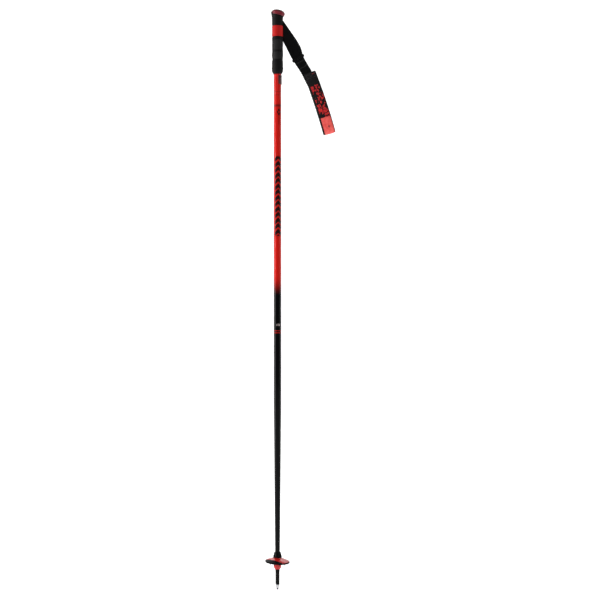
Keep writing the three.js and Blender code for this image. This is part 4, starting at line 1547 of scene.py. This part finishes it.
def patch_section(s):
    edge = min(s - PATCH_START, PATCH_END - s)
    half = 10.8 - 0.9 * (1 - smooth(edge / 1.4))
    w = np.linspace(0.35 - half, half - 0.35, 22) + PATCH_MIDDLE
    top = [(a, patch_height(a) + 0.5) for a in w]
    under = [(a, patch_height(a) - 0.35) for a in w[::-1]]
    left, right = PATCH_MIDDLE - half, PATCH_MIDDLE + half
    near = [(left, top[0][1] - 0.5), (left + 0.05, top[0][1] - 0.18)]
    far = [(right - 0.05, top[-1][1] - 0.18), (right, top[-1][1] - 0.5)]
    return near + top + far + under


def patch_finish():
    f = Finish("patch_fabric", Roughness=0.5, Coat_Weight=0.15, Coat_Roughness=0.3)
    w, s = f.surface()
    worn = f.noise(6.0, 3.0)
    grain = f.noise(0.7, 2.0)
    colour = f.blend(worn.rise(0.3, 0.75), rgb(214, 62, 56), rgb(228, 88, 80))
    from_mark = abs(s - 124.0) * 0.9 + abs(w - 2.6)
    mark = (from_mark < 2.4) * (from_mark > 1.1)
    colour = f.blend(mark, colour, rgb(70, 18, 18))
    return f.set(Base_Color=colour, Roughness=0.44 + worn * 0.12).bump(grain, 0.05)


patch = loop_band("strap_end_cover", np.linspace(PATCH_START, PATCH_END, 34), patch_section)
finished(patch, patch_finish(), "strap_loop", "patch_fabric", "strap_end_patch")

# %% [markdown]
# ## Stitches
# Each seam is a line of edges on the surface, and the stitch tree does the rest. Seams run down
# both sides of the band, across it at each quilt line, round the patch, and in a box where the
# legs are sewn into the band.

# %% Seam lines
def seam(path):
    """Points on the band for a list of (distance across, distance along, lift)."""
    made = []
    for w, s, lift in path:
        point, out, across = station(s)
        made.append(point + out * (pad_height(w, s) + lift) + across * w)
    return made


def seam_object(name, paths):
    points, edges = [], []
    for path in paths:
        start = len(points)
        points += path
        edges += [(k, k + 1) for k in range(start, len(points) - 1)]
    mesh = bpy.data.meshes.new(name)
    mesh.from_pydata([tuple(np.array(p) * MM) for p in points], edges, [])
    made = bpy.data.objects.new(name, mesh)
    bpy.context.scene.collection.objects.link(made)
    return made


def wrap_tree():
    """The stitch tree again, with the object's own edges as its route."""
    sizes = ("Pitch", "Stitch", "Thread")
    inputs = {"Geometry": "Geometry", **dict.fromkeys(sizes, "Float"), "Material": "Material"}
    tree, group_in, group_out = tree_inputs("stitch_object", inputs)
    group = put(tree, "GeometryNodeGroup", {"node_tree": STITCHES})
    tree.links.new(group_in.outputs["Geometry"], group.inputs["Route"])
    for label in (*sizes, "Material"):
        tree.links.new(group_in.outputs[label], group.inputs[label])
    tree.links.new(group.outputs[0], group_out.inputs[0])
    return tree


STITCH_OBJECT = wrap_tree()


def stitched(name, paths, finish, pitch=2.6, stitch=2.0, thread=0.42):
    made = seam_object(name, paths)
    grow(
        made, STITCH_OBJECT, Pitch=pitch * MM, Stitch=stitch * MM, Thread=thread * MM,
        Material=finish.material,
    )
    return tidy(made, 80)


print("tree:", STITCH_OBJECT.name)

# %% [markdown]
# The band's own seams come first: one along each groove, left out where the end patch covers
# it, and one across at each quilt line of the front and the back run. They sink by a fiftieth
# of a millimetre, as pulled thread does.

# %% Seams of the band
SINK = -0.02
long_way = np.linspace(2.5, TOTAL - 2.5, 220)
sides = []
for w in (-GROOVE, GROOVE):
    sides.append(seam([(w, s, SINK) for s in long_way if s < PATCH_START - 1.5]))
    sides.append(seam([(w, s, SINK) for s in long_way if s > PATCH_END + 1.5]))
quilts = []
for k in range(3):
    for s in (QUILT_FROM + QUILT_PITCH * k, TOTAL - QUILT_FROM - QUILT_PITCH * k):
        quilts.append(seam([(w, s, SINK) for w in np.linspace(-10.0, 10.0, 24)]))
seams = stitched("strap_band_stitches", sides + quilts, THREAD)
finished(seams, THREAD, "strap_loop", "printed_webbing")

# %% [markdown]
# Where the legs are sewn into the band there is a box with a cross in it, the strongest seam
# for webbing. It is drawn once for the front run and once for the back.

# %% Box stitches
BOX_HALF, BOX_TOP, BOX_LOW = 9.4, 4.0, 13.0

box = []
for s_of in (lambda d: d, lambda d: TOTAL - d):
    corners = [(-BOX_HALF, BOX_TOP), (BOX_HALF, BOX_TOP), (BOX_HALF, BOX_LOW)]
    corners += [(-BOX_HALF, BOX_LOW), (-BOX_HALF, BOX_TOP), (BOX_HALF, BOX_LOW)]
    path = []
    shares = np.linspace(0, 1, 14)
    for (w0, d0), (w1, d1) in zip(corners[:-1], corners[1:]):
        path += [(w0 + (w1 - w0) * t, s_of(d0 + (d1 - d0) * t), 0.0) for t in shares[:-1]]
    box.append(seam(path))
    depth = BOX_LOW - BOX_TOP
    cross = [(BOX_HALF * (2 * t - 1), s_of(BOX_LOW - depth * t), 0.0) for t in shares]
    box.append(seam(cross))
box_stitches = stitched("strap_box_stitches", box, THREAD, 2.1, 1.7, 0.5)
finished(box_stitches, THREAD, "strap_loop", "printed_webbing")

# %% [markdown]
# The patch has one red seam just inside its edge. It runs down one side, across, up the other
# side and back across, so it is one closed line on the patch's own surface.

# %% Patch stitches
RED_THREAD = Finish("red_thread", Base_Color=rgb(150, 30, 28), Roughness=0.6)
RED_THREAD.bump(RED_THREAD.noise(0.25), 0.05)


def on_patch(w, s):
    point, out, across = station(s)
    return point + out * (patch_height(w) + 0.48) + across * w


low, high = PATCH_MIDDLE - 9.4, PATCH_MIDDLE + 9.4
s_low, s_high = PATCH_START + 1.6, PATCH_END - 1.6
round_patch = [on_patch(low, s) for s in np.linspace(s_high, s_low, 40)]
round_patch += [on_patch(w, s_low) for w in np.linspace(low, high, 24)[1:]]
round_patch += [on_patch(high, s) for s in np.linspace(s_low, s_high, 40)[1:]]
round_patch += [on_patch(w, s_high) for w in np.linspace(high, low, 24)[1:]]
patch_stitches = stitched("strap_patch_stitches", [round_patch], RED_THREAD, 2.3, 1.8, 0.4)
finished(patch_stitches, RED_THREAD, "strap_loop", "patch_fabric")

# %% [markdown]
# The legs are sewn to each other below the slider with pairs of short, close bars.

# %% Bar stitches on the legs
def bar_path(at, y):
    route, across, s = even(leg_route(*FRONT_ROUTE), LEG_PITCH)
    k = int(np.argmin(np.abs(s - WEB_HALF - at)))
    (x, z), (side_x, side_z) = route[k], across[k]
    return [(x + side_x * w, y, z + side_z * w) for w in np.linspace(-8, 8, 20)]


bars = [bar_path(at, y) for at in (92.0, 94.6, 105.0, 107.6) for y in (-1.78, 1.78)]
bar_stitches = stitched("strap_bar_stitches", bars, THREAD, 1.3, 1.15, 0.5)
finished(bar_stitches, THREAD, "strap_loop", "webbing")

# %% Write the sizes and finish
look_low, look_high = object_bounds()
now, allowed = ([round(v / MM, 1) for v in box] for box in (look_high - look_low, cad_high - cad_low))
print("size now:", now, "mm, of", allowed)
print("faces in all:", sum(count for _, count in FACES))
